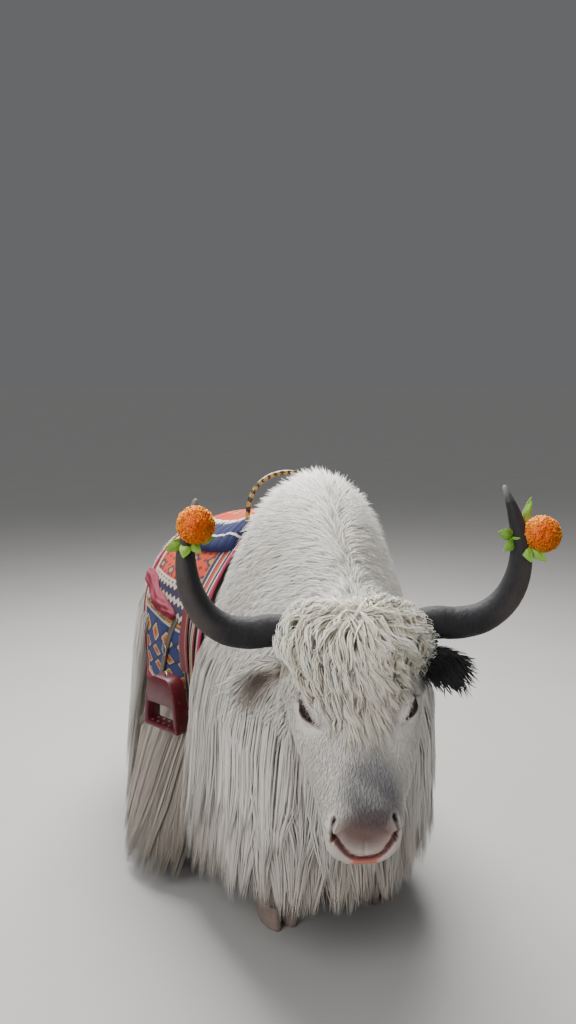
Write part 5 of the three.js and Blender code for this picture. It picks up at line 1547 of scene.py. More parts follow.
def rug_finish():
    """The woven pattern: stripes along the front edge, a flame-red field and, lower down, a navy panel
    of stepped lozenges"""
    finish = Finish("rug_weave", roughness=0.92)
    yarn = {name: tuple(getattr(bpy.context.scene.yak_gear, name)) for name in YARNS}
    along, over = finish.across()
    drop = abs(over)
    threads = (along * 900).sum("SINE") * 0.5 + (over * 2600).sum("SINE") * 0.5
    slub = finish.noise(150, 4)

    def band(value, low, high):
        return (value > low) * (value < high)

    def steps(value, count):
        return (value * count).sum("FLOOR") / count

    def wave(value, period):
        return abs((value / period).sum("FRACT") - 0.5) * 2

    lozenge = steps(wave(along, 0.22), 7) + steps(wave(over, 0.085), 7)
    small = steps(wave(along, 0.075), 4) + steps(wave(over, 0.034), 4)
    colour = finish.mix(small > 1.22, yarn["flame"], yarn["crimson"])
    colour = finish.mix(band(lozenge, 1.25, 1.5), colour, yarn["navy"])
    colour = finish.mix(lozenge > 1.5, colour, yarn["ochre"])
    colour = finish.mix(band(small, 1.7, 2.1) * (lozenge > 1.5), colour, yarn["ivory"])
    panel = band(drop, 0.60, 0.94)
    below = finish.mix(lozenge > 0.72, yarn["blue"], yarn["navy"])
    below = finish.mix(band(lozenge, 1.0, 1.2), below, yarn["ivory"])
    below = finish.mix(lozenge > 1.2, below, yarn["ochre"])
    below = finish.mix(lozenge > 1.5, below, yarn["flame"])
    colour = finish.mix(panel, colour, below)
    zigzag = wave(over + steps(wave(along, 0.06), 5) * 0.016, 0.052)
    colour = finish.mix(band(drop, 0.46, 0.60), colour, finish.mix(zigzag > 0.62, yarn["navy"], yarn["ivory"]))
    for place, stripes in ((drop, HEM_STRIPES), (along, EDGE_STRIPES)):
        for low, high, name in stripes:
            colour = finish.mix(band(place, low, high), colour, yarn[name])
    colour = finish.mix(drop > 0.955, colour, yarn["rose"])
    fade = finish.noise(9, 4)
    colour = finish.mix(fade * 0.16 + slub * 0.10, colour, (0.24, 0.17, 0.14))
    finish.done(colour, 0.86 + slub * 0.12, threads * 0.5 + slub * 0.9, 0.9, 0.0016)


def binding_finish():
    finish = Finish("binding", roughness=0.85)
    thread = finish.noise(240, 3)
    finish.done(finish.mix(thread, (0.36, 0.02, 0.06), (0.60, 0.07, 0.15)), bump=thread, depth=0.8)


def draped(share, turn, wrinkle=0.0):
    """Points of the rug's cloth: it hangs in folds, and its rear corners stand off"""
    drop = np.clip(1 - (1 - np.abs(turn)) / HANGING_SHARE, 0, 1)
    y = RUG["front"] + share * RUG["width"]
    folds = 5.5 * np.sin(y / 38 + 2.2 * np.sign(turn)) * smoothstep(0.15, 1, drop)
    edge = smoothstep(0.04, 0, np.minimum(share, 1 - share))
    lift = 8 + folds + wrinkle * np.sin(turn * 23 + share * 9) * (1 - drop) + 3 * edge
    corner = smoothstep(0.8, 1, share) * smoothstep(0.6, 1, drop)
    return rug_points(share, turn, np.clip(lift, 4, 15) + 9 * corner) + np.outer(10 * corner, UP)


def make_rug():
    """The rug's cloth, and the binding along its front and rear edges"""
    mesh = mesh_of(flat_grid(48, 170), "cloth")
    flat = points_of(mesh)
    share, turn = (flat[:, 0] + 1) / 2, flat[:, 1]
    set_points(mesh, draped(share, turn, wrinkle=2.5))
    lay_pattern(mesh, np.stack([share, turn], -1))
    mesh = applied(mesh, [("SOLIDIFY", {"thickness": 5.5, "offset": 0.0})])
    rug = put("rug_cloth", mesh, "rug_weave", ["saddle_rug"])
    middle = rug_points(np.full(400, 0.5), np.linspace(0, 1, 400), 8)
    length = 2 * 0.001 * float(np.linalg.norm(np.diff(middle, axis=0), axis=1).sum())
    across = np.linspace(-1, 1, 160)
    rims = [draped(np.full(160, share), turn) for share, turn in ((0.0, across), (1.0, across[::-1]))]
    bound = lofted("rug_binding", *(rod_rings(rim, 5.0, 10, side=(0, 1, 0)) for rim in rims))
    put("rug_binding", bound, "binding")


def pad_finish():
    finish = Finish("pad_weave", roughness=0.85)
    gear = bpy.context.scene.yak_gear
    along, over = finish.across()
    pile = finish.noise(320, 3)
    rub = finish.noise(14, 4)
    aside = abs(over - 0.5)
    tooth = abs((along * 18).sum("FRACT") - 0.5) * 0.09
    lozenge = abs((along * 9).sum("FRACT") - 0.5) + abs(aside * 6 - 0.6)
    colour = finish.mix(rub, [c * 0.6 for c in gear.flame], gear.flame)
    for where, yarn in ((lozenge < 0.34, gear.ochre), (lozenge < 0.2, gear.navy), (aside > 0.24, gear.ivory),
                        (aside > 0.255 + tooth, gear.navy), (aside > 0.40, gear.ivory), (aside > 0.415, gear.navy)):
        colour = finish.mix(where, colour, yarn)
    finish.done(colour, 0.75 + pile * 0.22, pile + rub * 0.4, 0.5, 0.0015)


def make_pad():
    """The riding pad: crowned, raised at both ends and sewn across in channels"""
    c, s = np.cos(around(72)), np.sin(around(72))
    rings, values = [], []
    for along in np.linspace(0, 1, 66):
        edge = np.clip(min(along, 1 - along) / 0.14, 0, 1)
        end = math.sqrt(max(1 - (1 - edge) ** 2, 0.02))
        rise = 1 + 0.35 * (2 * along - 1) ** 2
        channel = 1 - 0.13 * math.exp(-((abs((along * 7) % 1 - 0.5)) / 0.09) ** 2)
        turn = PAD["reach"] * np.sign(c) * np.abs(c) ** 0.7 * (0.93 + 0.07 * end)
        swell = PAD["thick"] * 0.92 * rise * end * channel
        lift = RUG["thick"] + np.where(s > 0, swell * np.abs(s) ** 0.6, -3 * np.abs(s))
        y = PAD["front"] - RUG["front"] + (PAD["rear"] - PAD["front"]) * along
        rings.append(rug_points(np.full(len(c), y / (RUG["rear"] - RUG["front"])), turn, lift))
        values.append(np.stack([np.full(len(c), along), (turn / PAD["reach"] + 1) / 2], -1))
    mesh = lofted("saddle_pad", rings)
    lay_pattern(mesh, np.concatenate(values))
    mesh = applied(mesh, [("SUBSURF", {"levels": 1, "render_levels": 1})])
    pad = put("pad_cover", mesh, "pad_weave", ["saddle_pad"])


def hoop_finish():
    finish = Finish("hoop_lacquer", roughness=0.32, coat=0.5)
    along = finish.attribute("along")
    worn = finish.noise(70, 4)
    mottle = finish.noise(95, 2)
    wave = abs((along * 17 + mottle * 0.9).sum("FRACT") - 0.5) * 2
    colour = finish.mix(wave > 0.5, (0.012, 0.011, 0.010), (0.46, 0.27, 0.035))
    colour = finish.mix((worn - 0.58) * 5, colour, (0.22, 0.14, 0.06))
    finish.done(colour, 0.26 + worn * 0.3, worn, 0.3, 0.001)


def make_hoop():
    """The hand hoop: a rod bent to an arch"""
    steps, count = 90, 20
    angle = np.linspace(0, math.pi, steps)
    rise = (HOOP["top"] - HOOP["foot"]) * np.sin(angle) ** 0.7
    path = np.stack([HOOP["half_width"] * np.cos(angle), np.full(steps, HOOP["y"]), HOOP["foot"] + rise], -1)
    mesh = lofted("saddle_hoop", rod_rings(path, HOOP["radius"], count, side=(0, 1, 0)))
    lay_values(mesh, "along", np.repeat(np.linspace(0, 1, steps), count))
    put("hoop_rod", mesh, "hoop_lacquer", ["saddle_hoop"])


def sash_finish():
    finish = Finish("sash_cloth", roughness=0.78)
    weave = finish.noise(400, 2)
    crease_and_shade = finish.noise(16, 5, finish.scaled((1, 0.4, 1)))
    # The hollows of the creases are painted darker: painted shade in the folds of the cloth
    colour = finish.mix(crease_and_shade, (0.07, 0.001, 0.009), (0.24, 0.004, 0.026))
    finish.done(colour, bump=crease_and_shade * 0.7 + weave * 0.3, depth=0.7, distance=0.003)


def make_sash():
    """A rolled cloth tucked along the rug, with twisted folds"""
    rows = smooth_path(SASH, 76)
    path = np.array([flank_point(-1, y, z, 18) for y, z, _ in rows])
    angle = around(44)
    side = UP
    rings = []
    for i, (centre, along) in enumerate(zip(path, directions(path))):
        side = unit(side - along * (side @ along))
        up = np.cross(along, side)
        s = i / (len(rows) - 1)
        twist = angle * 3 + 9 * s + 1.5 * math.sin(s * 7)
        fold = 1 + 0.15 * np.abs(np.sin(twist)) ** 1.5 - 0.11 + 0.06 * np.sin(5 * angle - 21 * s)
        end = math.sqrt(max(0.03, 1 - max(0, abs(2 * s - 1) - 0.93) ** 2 / 0.0049))
        radius = rows[i][2] * fold * end
        rings.append(centre + np.outer(radius * np.cos(angle), side) + np.outer(radius * np.sin(angle), up))
    sash = put("sash_roll", lofted("sash", rings), "sash_cloth", ["sash"])


def outline_points(corners, count):
    """Even points round a closed outline"""
    corners = np.array(corners + corners[:1], float)
    run = np.concatenate([[0], np.cumsum(np.linalg.norm(np.diff(corners, axis=0), axis=1))])
    at = np.linspace(0, run[-1], count, endpoint=False)
    return np.stack([np.interp(at, run, corners[:, i]) for i in (0, 1)], -1)


def arc_between(start, control, end):
    """Points of a rounded corner"""
    t = np.linspace(0, 1, 7)[:, None]
    start, control, end = (np.array(p, float) for p in (start, control, end))
    return (((1 - t) ** 2) * start + 2 * t * (1 - t) * control + t * t * end).tolist()


def stirrup_finish():
    finish = Finish("stirrup_lacquer", roughness=0.42, coat=0.25)
    worn = finish.noise(38, 6)
    grain = finish.noise(12, 5, finish.scaled((3, 3, 24)))
    colour = finish.mix(grain, (0.045, 0.001, 0.005), (0.13, 0.003, 0.012))
    colour = finish.mix((worn - 0.6) * 6, colour, (0.16, 0.075, 0.05))
    finish.done(colour, 0.3 + worn * 0.35, worn + grain, 0.3, 0.0015)


def make_stirrup(which, side):
    """A broad wooden stirrup with a straight tread, its edges rounded by wear"""
    w, h, depth, rim = STIRRUP["width"] / 2, STIRRUP["height"] / 2, STIRRUP["depth"], STIRRUP["rim"]
    slope, shoulder, sill = w * 0.92, -h + 2 * h * 0.45, -h + rim
    head = sill + STIRRUP["window"]
    outer = [[-w, -h], [w, -h], [slope, shoulder]]
    outer += arc_between((slope, shoulder), (w * 0.8, h), (w * 0.3, h))[1:]
    outer += arc_between((-w * 0.3, h), (-w * 0.8, h), (-slope, shoulder))
    inner = [[-w + rim, sill], [w - rim, sill], [slope - rim, head], [-slope + rim, head]]
    base = flank_point(side, STIRRUP["y"], STIRRUP["z"], STIRRUP["lift"])
    swing = side * math.radians(STIRRUP["turn"])
    pivot = np.array((side * depth / 2, 0, 0))

    def turned(points):
        away = points - pivot
        x = away[:, 0] * math.cos(swing) + away[:, 1] * math.sin(swing)
        y = -away[:, 0] * math.sin(swing) + away[:, 1] * math.cos(swing)
        return base + pivot + np.array((side * STIRRUP["proud"], 0, 0)) + np.stack([x, y, away[:, 2]], -1)

    def ring(flat, inwards, grow):
        middle = flat.mean(0)
        flat = middle + (flat - middle) * (1 + grow / np.linalg.norm(flat - middle, axis=1, keepdims=True))
        return turned(np.stack([np.full(len(flat), side * inwards), flat[:, 0], flat[:, 1]], -1))

    outline, opening = outline_points(outer, 72), outline_points(inner, 72)
    edge = 4
    rings = [ring(*place) for place in (
        (outline, 0, -edge), (outline, 1.2, -1.2), (outline, edge, 0), (outline, depth - edge, 0),
        (outline, depth - 1.2, -1.2), (outline, depth, -edge), (opening, depth, edge - 1),
        (opening, depth - edge, 0), (opening, edge, 0), (opening, 0, edge - 1),
    )]
    bm = bmesh.new()
    loft(bm, rings + rings[:1], caps=False)
    bmesh.ops.remove_doubles(bm, verts=bm.verts, dist=0.01)
    name = f"stirrup_{which}"
    put(f"stirrup_wood_{which}", mesh_of(bm, name), "stirrup_lacquer", [name])
    bm = bmesh.new()
    for along in np.linspace(-w + 26, w - 26, 5):
        for out in (0.28, 0.72):
            at = turned(np.array([(side * depth * out, along, sill)]))[0]
            ball(bm, at, (5, 5, 1.8), detail=2)
    ring_at = turned(np.array([(side * depth * 0.5, 0, h + 2.0)]))[0]
    angle = np.linspace(0, 2 * math.pi, 33)
    loop = ring_at + np.stack([0 * angle, 16 * np.cos(angle), 9 * np.sin(angle)], -1)
    loft(bm, rod_rings(loop, 2.6, 10, side=(1, 0, 0)))
    put(f"stirrup_studs_{which}", mesh_of(bm, "studs"), "dull_steel")


def steel_finish():
    finish = Finish("dull_steel", roughness=0.35, metallic=1.0)
    worn = finish.noise(90, 4)
    finish.done(finish.mix(worn, (0.55, 0.53, 0.50), (0.30, 0.27, 0.24)), 0.25 + worn * 0.35, worn, 0.2, 0.001)


def make_strap(name, side, strap, finish):
    """A flat strap with softly rounded edges, against the flank"""
    path = strap_path(side, strap)
    half, thick = strap["width"] / 2, strap["thick"]
    edge = [(-1, 0), (-0.93, 0.8), (-0.8, 1), (0, 1), (0.8, 1), (0.93, 0.8), (1, 0), (0.93, -0.8), (0.8, -1),
            (0, -1), (-0.8, -1), (-0.93, -0.8)]
    rings, values = [], []
    run = 0.0
    for i, (centre, along) in enumerate(zip(path, directions(path))):
        across = unit(np.cross(along, np.array((side, 0, 0))))
        out = np.cross(across, along)
        rings.append([centre + across * half * a + out * thick * b for a, b in edge])
        run += np.linalg.norm(path[i] - path[max(i - 1, 0)]) / 1000
        values += [(run, (a + 1) / 2) for a, b in edge]
    mesh = lofted(name, rings)
    lay_pattern(mesh, values)
    put(name.replace("_", "_band_"), mesh, finish, [name])


def leather_finish(name):
    finish = Finish(name, roughness=0.62)
    dark, light, stitch = LEATHERS[name]
    along, over = finish.across()
    grain = finish.cells(220)
    wear = finish.noise(22, 5)
    edge = (abs(over - 0.5) * 2.0) ** 6.0
    colour = finish.mix(wear, dark, light)
    colour = finish.mix(edge * 0.6, colour, light)
    sewn = (abs(abs(over - 0.5) - 0.4) < 0.022) * ((along * 160).sum("FRACT") > 0.35)
    colour = finish.mix(sewn, colour, stitch)
    finish.done(colour, 0.5 + wear * 0.3, grain * 0.7 + sewn * 0.8 + wear * 0.3, 0.5, 0.0015)


def webbing_finish():
    finish = Finish("girth_webbing", roughness=0.9)
    along, over = finish.across()
    aside = abs(over - 0.5)
    rib = (along * 1500).sum("SINE")
    slub = finish.noise(180, 4)
    colour = finish.mix(aside > 0.36, (0.50, 0.36, 0.17), (0.20, 0.025, 0.03))
    colour = finish.mix(aside < 0.10, colour, (0.03, 0.05, 0.16))
    colour = finish.mix((aside > 0.20) * (aside < 0.27), colour, (0.66, 0.58, 0.44))
    colour = finish.mix(slub * 0.3, colour, (0.25, 0.19, 0.14))
    finish.done(colour, bump=rib * 0.6 + slub, depth=0.7, distance=0.0015)


def make_buckle(name, side, strap, share):
    """A plain frame buckle on a strap"""
    i = int(share * (STRAP_STEPS - 1))
    path = strap_path(side, strap, raised=3)
    along = directions(path)[i]
    across = unit(np.cross(along, np.array((side, 0, 0))))
    out = np.cross(across, along)
    angle = np.linspace(0, 2 * math.pi, 41)
    wide, tall = (np.sign(turn) * np.abs(turn) ** 0.35 for turn in (np.cos(angle), np.sin(angle)))
    square = path[i] + np.outer(wide * (strap["width"] / 2 + 5), across) + np.outer(tall * 15, along)
    tongue = path[i] + np.outer(np.linspace(-15, 15, 6), along) + out * (strap["thick"] + 3)
    rods = rod_rings(square + out * strap["thick"], 2.4, 10, side=out), rod_rings(tongue, 1.8, 8, side=out)
    put(name, lofted(name, *rods), "dull_steel")


# Flowers and leaves

def petal_finish():
    finish = Finish("marigold", roughness=0.65)
    # The tints carry painted shade towards the middle of the flower, where the petals' roots are
    depth = finish.attribute("tint", "Color")
    soft = finish.noise(160, 3)
    finish.done(finish.mix(soft * 0.2, depth, (1.0, 0.30, 0.01)), bump=soft, depth=0.3, distance=0.001)


def make_flower(which, seed):
    """A marigold: a ball of short ruffled petals round a deeper heart"""
    draw = np.random.default_rng(seed)
    bloom = bpy.context.scene.yak_gear.flower_radius * 1000
    count, steps = 900, 5
    i = np.arange(count) + 0.5
    polar = np.arccos(1 - 2 * i / count)
    turn = math.pi * (1 + 5 ** 0.5) * i
    normal = np.stack([np.sin(polar) * np.cos(turn), np.sin(polar) * np.sin(turn), np.cos(polar)], -1)
    lying = unit(np.cross(normal, unit(draw.normal(size=(count, 3)))))
    centre = placed(LEVEL, np.array(FLOWER_AT[which], float))
    s = np.linspace(0, 1, steps)
    root = bloom * 0.62
    reach = (bloom * draw.uniform(0.97, 1.07, count) - root)[:, None, None]
    bend = draw.uniform(1.5, 5.0, count)[:, None, None]
    paths = centre + normal[:, None] * (root + reach * s[:, None] * (1 - 0.12 * s[:, None] ** 3))
    paths = paths + lying[:, None] * bend * s[:, None] ** 2
    ripe = draw.uniform(0, 1, (count, 1))
    tints = np.array((1.0, 0.20, 0.003)) * (1 - ripe) + np.array((1.0, 0.42, 0.008)) * ripe
    corners = tuft_shape(paths, lying, np.full(count, 9.5), 0.14, np.array((0.5, 0.8, 1.05, 1.0, 0.7)))
    # Painted shade and light along each petal: darker at its root deep in the flower, lighter at its tip
    shades = np.concatenate([np.repeat((0.8 + 0.25 * s)[:-1], 3), [1.05]])
    uv = np.stack([(turn % 6.28) / 6.28, polar / math.pi], -1)
    name = f"flower_{which}"
    mesh = coat_mesh(name, corners, tuft_faces(steps - 1), tints, shades, uv)
    put(f"marigold_{which}", mesh, "marigold", [name])
    bm = bmesh.new()
    ball(bm, centre, (bloom * 0.88,) * 3)
    heart = mesh_of(bm, "heart")
    colour_piece(heart, np.broadcast_to(np.array((0.90, 0.14, 0.003)), (len(heart.vertices), 3)))
    put(f"heart_{which}", heart, "marigold")


def leaf_finish():
    finish = Finish("leaf", roughness=0.5)
    along, over = finish.across()
    vein = abs(over - 0.5) < 0.02
    ribs = abs((along * 9 - abs(over - 0.5) * 3).sum("FRACT") - 0.5) > 0.45
    mottle = finish.noise(40, 3)
    colour = finish.mix(mottle, (0.13, 0.36, 0.03), (0.36, 0.66, 0.07))
    colour = finish.mix(vein, colour, (0.50, 0.70, 0.18))
    finish.done(colour, 0.45 + mottle * 0.2, ribs * 0.6 + vein, 0.5, 0.001)


def make_spray(which):
    """Leaves on a green tie round the horn, under the flower, with a short stem"""
    spray = SPRAYS[which]
    at, radius = np.array(spray["at"], float), spray["radius"]
    bloom = bpy.context.scene.yak_gear.flower_radius * 1000
    bm = bmesh.new()
    patterns = []
    for towards, length, width in spray["leaves"]:
        along = unit(np.array(towards, float))
        across = unit(np.cross(along, (0, 1.0, 0)))
        out = np.cross(across, along)
        sheet = flat_grid(8, 14)
        for vert in sheet.verts:
            a, b = vert.co.x, (vert.co.y + 1) / 2
            wide = width * 0.62 * math.sin(math.pi * min(1, 0.06 + b * 0.94)) ** 0.7 * (1 - 0.25 * b)
            bow = -6 * math.sin(b * math.pi) + 2.5 * abs(a) + 1.2 * math.sin(9 * b + 3 * a)
            spot = at + along * (radius - 2 + length * b) + across * wide * a + out * bow
            vert.co = placed(LEVEL, spot)
            patterns.append((b, (a + 1) / 2))
        add_part(bm, sheet)
    name = f"leaves_{which}"
    mesh = mesh_of(bm, name)
    lay_pattern(mesh, patterns)
    mesh = applied(mesh, [
        ("SOLIDIFY", {"thickness": 0.9, "offset": 0.0}), ("SUBSURF", {"levels": 1, "render_levels": 1}),
    ])
    put(f"spray_{which}", mesh, "leaf", [name])
    angle = np.linspace(0, 4 * math.pi, 61)
    level = 3.0 * np.sin(angle / 2) + angle * 0.5 - 3
    ring = at + np.stack([radius * np.cos(angle), radius * np.sin(angle), level], -1)
    start, end = at + (0, -radius, 0), np.array(FLOWER_AT[which]) + (0, 0, -bloom * 0.6)
    stem = start + (end - start) * np.linspace(0, 1, 8)[:, None]
    rods = rod_rings(placed(LEVEL, ring), 2.2, 8), rod_rings(placed(LEVEL, stem), 2.6, 8, side=(1, 0, 0))
    put(f"tie_{which}", lofted("tie", *rods), "leaf")


# The stage

LIGHTS = (
    ("key", 112, 2.6, (-3.0, -2.0, 3.2)), ("above", 410, 2.8, (0.4, 1.5, 3.9)), ("fill", 10, 3.0, (2.8, -2.6, 1.8)),
)
LIT_POINT = Vector((0.1, -0.2, 0.8))
SKY = {"power": 0.55, "spread": 100, "from": (-0.2, -0.1, 1)}
CAMERA = {"at": (-1.0747, -2.5893, 1.6464), "pitch": 81, "yaw": -24}


def make_lights(share):
    for name, power, size, place in LIGHTS:
        lamp = bpy.data.lights.new(name, "AREA")
        lamp.energy, lamp.size = power * share, size
        light = linked(name, lamp)
        light.location = place
        light.rotation_euler = (Vector(place) - LIT_POINT).to_track_quat("Z", "Y").to_euler()
    sky = bpy.data.lights.new("sky", "SUN")
    sky.energy, sky.angle = SKY["power"] * share, math.radians(SKY["spread"])
    linked("sky", sky).rotation_euler = Vector(SKY["from"]).to_track_quat("Z", "Y").to_euler()


def make_camera(lens):
    optics = bpy.data.cameras.new("view")
    optics.lens = lens
    camera = linked("view", optics)
    camera.location = CAMERA["at"]
    camera.rotation_euler = (math.radians(CAMERA["pitch"]), 0, math.radians(CAMERA["yaw"]))
    bpy.context.scene.camera = camera


def make_floor(colour):
    """A plain pale floor that runs out to the horizon"""
    bm = bmesh.new()
    bmesh.ops.create_circle(bm, cap_ends=True, segments=96, radius=90.0)
    floor = linked("floor", mesh_of(bm, "floor"))
    finish = Finish("studio_floor", roughness=0.8)
    grit = finish.noise(2.0, 4)
    finish.done(finish.mix(grit, [c * 0.94 for c in colour], [c * 1.04 for c in colour]))
    floor.data.materials.append(finish.material)


def make_surroundings(strength):
    world = bpy.data.worlds.new("studio")
    bpy.context.scene.world = world
    world.use_nodes = True
    background = world.node_tree.nodes["Background"]
    background.inputs["Color"].default_value = (0.80, 0.82, 0.86, 1)
    background.inputs["Strength"].default_value = strength


# Dark, light and stitching of each leather
LEATHERS = {
    "strap_leather": ((0.06, 0.043, 0.034), (0.17, 0.13, 0.105), (0.34, 0.28, 0.2)),
    "fender_leather": ((0.10, 0.010, 0.02), (0.22, 0.04, 0.05), (0.55, 0.42, 0.2)),
}
FINISHES = {
    "coat_hair": coat_finish, "hide": hide_finish, "horn_sheath": horn_finish, "eyeball": eye_finish,
    "lash": lash_finish, "hoof_horn": hoof_finish, "rug_weave": rug_finish, "binding": binding_finish,
    "pad_weave": pad_finish, "hoop_lacquer": hoop_finish, "sash_cloth": sash_finish, "dull_steel": steel_finish,
    "stirrup_lacquer": stirrup_finish, "girth_webbing": webbing_finish, "marigold": petal_finish,
    "leaf": leaf_finish, **{name: partial(leather_finish, name) for name in LEATHERS},
}


# Settings, operators and panel

def colour_setting(name, description, default):
    return FloatVectorProperty(name=name, description=description, default=default, size=3, min=0, max=1,
                               subtype="COLOR")


def density_setting(name, description, default):
    description += ", in tufts per square centimetre"
    return FloatProperty(name=name, description=description, default=default, min=0.1, max=12)


class YakHideSettings(bpy.types.PropertyGroup):
    """Colours of the hide and the hair"""

    white: colour_setting("White", "Hair of the back, the flanks and the face", (0.86, 0.83, 0.775))
    cream: colour_setting("Cream", "Warmer hair of the crown and the neck", (0.79, 0.72, 0.60))
    # Tan and smoke darken the coat towards the floor: partly the hair's own colour, partly painted shade
    tan: colour_setting("Tan", "Long hair near the floor", (0.44, 0.35, 0.27))
    smoke: colour_setting("Smoke", "Tips of the long hair", (0.30, 0.265, 0.24))
    slate: colour_setting("Slate", "Patch on the bridge of the nose", (0.17, 0.168, 0.182))
    black: colour_setting("Black", "The left ear and the rims of the eyes", (0.012, 0.011, 0.013))
    pink: colour_setting("Pink", "Bare hide", (0.60, 0.33, 0.27))
    nose: colour_setting("Nose", "Bare front of the nose", (0.17, 0.085, 0.07))
    mauve: colour_setting("Mauve", "Edge between the nose and the grey patch", (0.11, 0.088, 0.095))
    nose_rim: colour_setting("Nose rim", "Hide between the nose and the mouth", (0.36, 0.29, 0.28))
    chin: colour_setting("Chin", "Lower jaw under the mouth", (0.72, 0.63, 0.56))
    lid: colour_setting("Lid", "Eyelids", (0.20, 0.12, 0.105))
    ear_inside: colour_setting("Ear inside", "Inside of the right ear", (0.16, 0.085, 0.065))
    # The mouth line is partly painted shade in the parting of the lips
    mouth_line_and_shade: colour_setting("Mouth line", "Line of the mouth", (0.17, 0.018, 0.018))
    lower_lip: colour_setting("Lower lip", "Lower lip", (0.58, 0.15, 0.09))


class YakCoatSettings(bpy.types.PropertyGroup):
    """How dense the coat is"""

    body_density: density_setting("Body", "Hair of the back, the flanks and the neck", 2.2)
    face_density: density_setting("Face", "Short hair of the face", 6.2)
    leg_density: density_setting("Legs", "Short hair of the legs", 2.0)
    ear_density: density_setting("Ears", "Hair of the ears", 4.1)
    lock_strands: IntProperty(name="Strands in a lock", description="Strands in each lock of the long coat",
                              default=48, min=4, max=60)
    crown_strands: IntProperty(name="Strands in a curl", description="Strands in each curl of the forelock",
                               default=9, min=3, max=20)


class YakGearSettings(bpy.types.PropertyGroup):
    """Colours of the rug's yarns, and the size of the flowers"""

    navy: colour_setting("Navy", "Navy ground of the lower panel", (0.010, 0.014, 0.070))
    crimson: colour_setting("Crimson", "Crimson edges and stripes", (0.21, 0.003, 0.015))
    ivory: colour_setting("Ivory", "Pale outlines and stripes", (0.66, 0.59, 0.48))
    flame: colour_setting("Flame", "Flame-red field", (0.62, 0.052, 0.008))
    ochre: colour_setting("Ochre", "Ochre lozenges", (0.55, 0.24, 0.03))
    blue: colour_setting("Blue", "Blue lozenges of the lower panel", (0.010, 0.045, 0.21))
    rose: colour_setting("Rose", "Rose hem", (0.36, 0.010, 0.050))
    flower_radius: FloatProperty(name="Flower radius", description="Radius of each flower", default=0.043,
                                 min=0.02, max=0.08, subtype="DISTANCE", unit="LENGTH")


class YakStageSettings(bpy.types.PropertyGroup):
    """The camera, the lights and the floor"""

    lens: FloatProperty(name="Lens", description="Focal length of the camera, in millimetres", default=31.64,
                        min=10, max=200, subtype="DISTANCE_CAMERA")
    light: FloatProperty(name="Light", description="Share of the lights' full power", default=1.0, min=0, max=4,
                         subtype="FACTOR")
    surround: FloatProperty(name="Surroundings", description="Brightness of the light from all round",
                            default=0.17, min=0, max=2)
    floor: colour_setting("Floor", "Colour of the floor", (0.45, 0.44, 0.425))


def both(*kinds):
    """The names of pieces that there are on the left and on the right"""
    return [f"{kind}_{name}" for kind in kinds for name in SIDES]


def confirm(*names):
    """Stops the script if a piece isn't there, whole or in numbered parts"""
    made = bpy.data.objects
    missing = [name for name in names if name not in made and name + "_1" not in made]
    if missing:
        raise RuntimeError("not made: " + ", ".join(missing))
    return {"FINISHED"}


class YAK_OT_skin(bpy.types.Operator):
    """One skin over all of the flesh, in place of the solids of head, neck, trunk, legs and tail"""

    bl_idname = "yak.skin"
    bl_label = "Skin"

    def execute(self, context):
        make_skin()
        return confirm("skin")


class YAK_OT_short_coat(bpy.types.Operator):
    """The hair of the body, the face, the legs and the ears, which grows from the skin"""

    bl_idname = "yak.short_coat"
    bl_label = "Short coat"

    def execute(self, context):
        body_coat()
        face_coat()
        leg_coat()
        ear_coat()
        return confirm("coat_body", "coat_face", "coat_legs", *both("coat_ear"))


class YAK_OT_long_coat(bpy.types.Operator):
    """The hair that hangs from the flanks and the breast nearly to the floor"""

    bl_idname = "yak.long_coat"
    bl_label = "Long coat"

    def execute(self, context):
        skirt_locks("coat_skirt_left", 1, 31)
        skirt_locks("coat_skirt_right", -1, 32)
        ruff_locks()
        return confirm("coat_ruff", *both("coat_skirt"))


class YAK_OT_tail(bpy.types.Operator):
    """The long hair of the tail"""

    bl_idname = "yak.tail"
    bl_label = "Tail"

    def execute(self, context):
        tail_locks()
        return confirm("coat_tail")


class YAK_OT_forelock(bpy.types.Operator):
    """The curly wool of the crown"""

    bl_idname = "yak.forelock"
    bl_label = "Forelock"

    def execute(self, context):
        forelock()
        return confirm("coat_forelock")


class YAK_OT_horns(bpy.types.Operator):
    """Both horns"""

    bl_idname = "yak.horns"
    bl_label = "Horns"

    def execute(self, context):
        for name, side in SIDES.items():
            make_horn("horn_" + name, side)
        return confirm(*both("horn_sheath"))


class YAK_OT_eyes(bpy.types.Operator):
    """Both eyes and their lashes"""

    bl_idname = "yak.eyes"
    bl_label = "Eyes"

    def execute(self, context):
        for name, side in SIDES.items():
            make_eye("eye_" + name, side)
        make_lashes()
        return confirm("lashes", *both("eyeball"))


class YAK_OT_hooves(bpy.types.Operator):
    """The four cloven hooves"""

    bl_idname = "yak.hooves"
    bl_label = "Hooves"

    def execute(self, context):
        for name, side in SIDES.items():
            make_hoof("hoof_front_" + name, side, LEG_FRONT_Y, LEG_FRONT[-1, 1])
            make_hoof("hoof_hind_" + name, side, LEG_HIND_Y, LEG_HIND[-1, 1])
        return confirm(*both("claws_front", "claws_hind"))


class YAK_OT_rug(bpy.types.Operator):
    """The woven rug over the back, with its bound edges"""

    bl_idname = "yak.rug"
    bl_label = "Rug"

    def execute(self, context):
        make_rug()
        return confirm("rug_cloth", "rug_binding")


class YAK_OT_saddle(bpy.types.Operator):
    """The riding pad and the hand hoop in front of it"""

    bl_idname = "yak.saddle"
    bl_label = "Pad and hoop"

    def execute(self, context):
        make_pad()
        make_hoop()
        return confirm("pad_cover", "hoop_rod")


class YAK_OT_sash(bpy.types.Operator):
    """The rolled sash on the right flank"""

    bl_idname = "yak.sash"
    bl_label = "Sash"

    def execute(self, context):
        make_sash()
        return confirm("sash_roll")


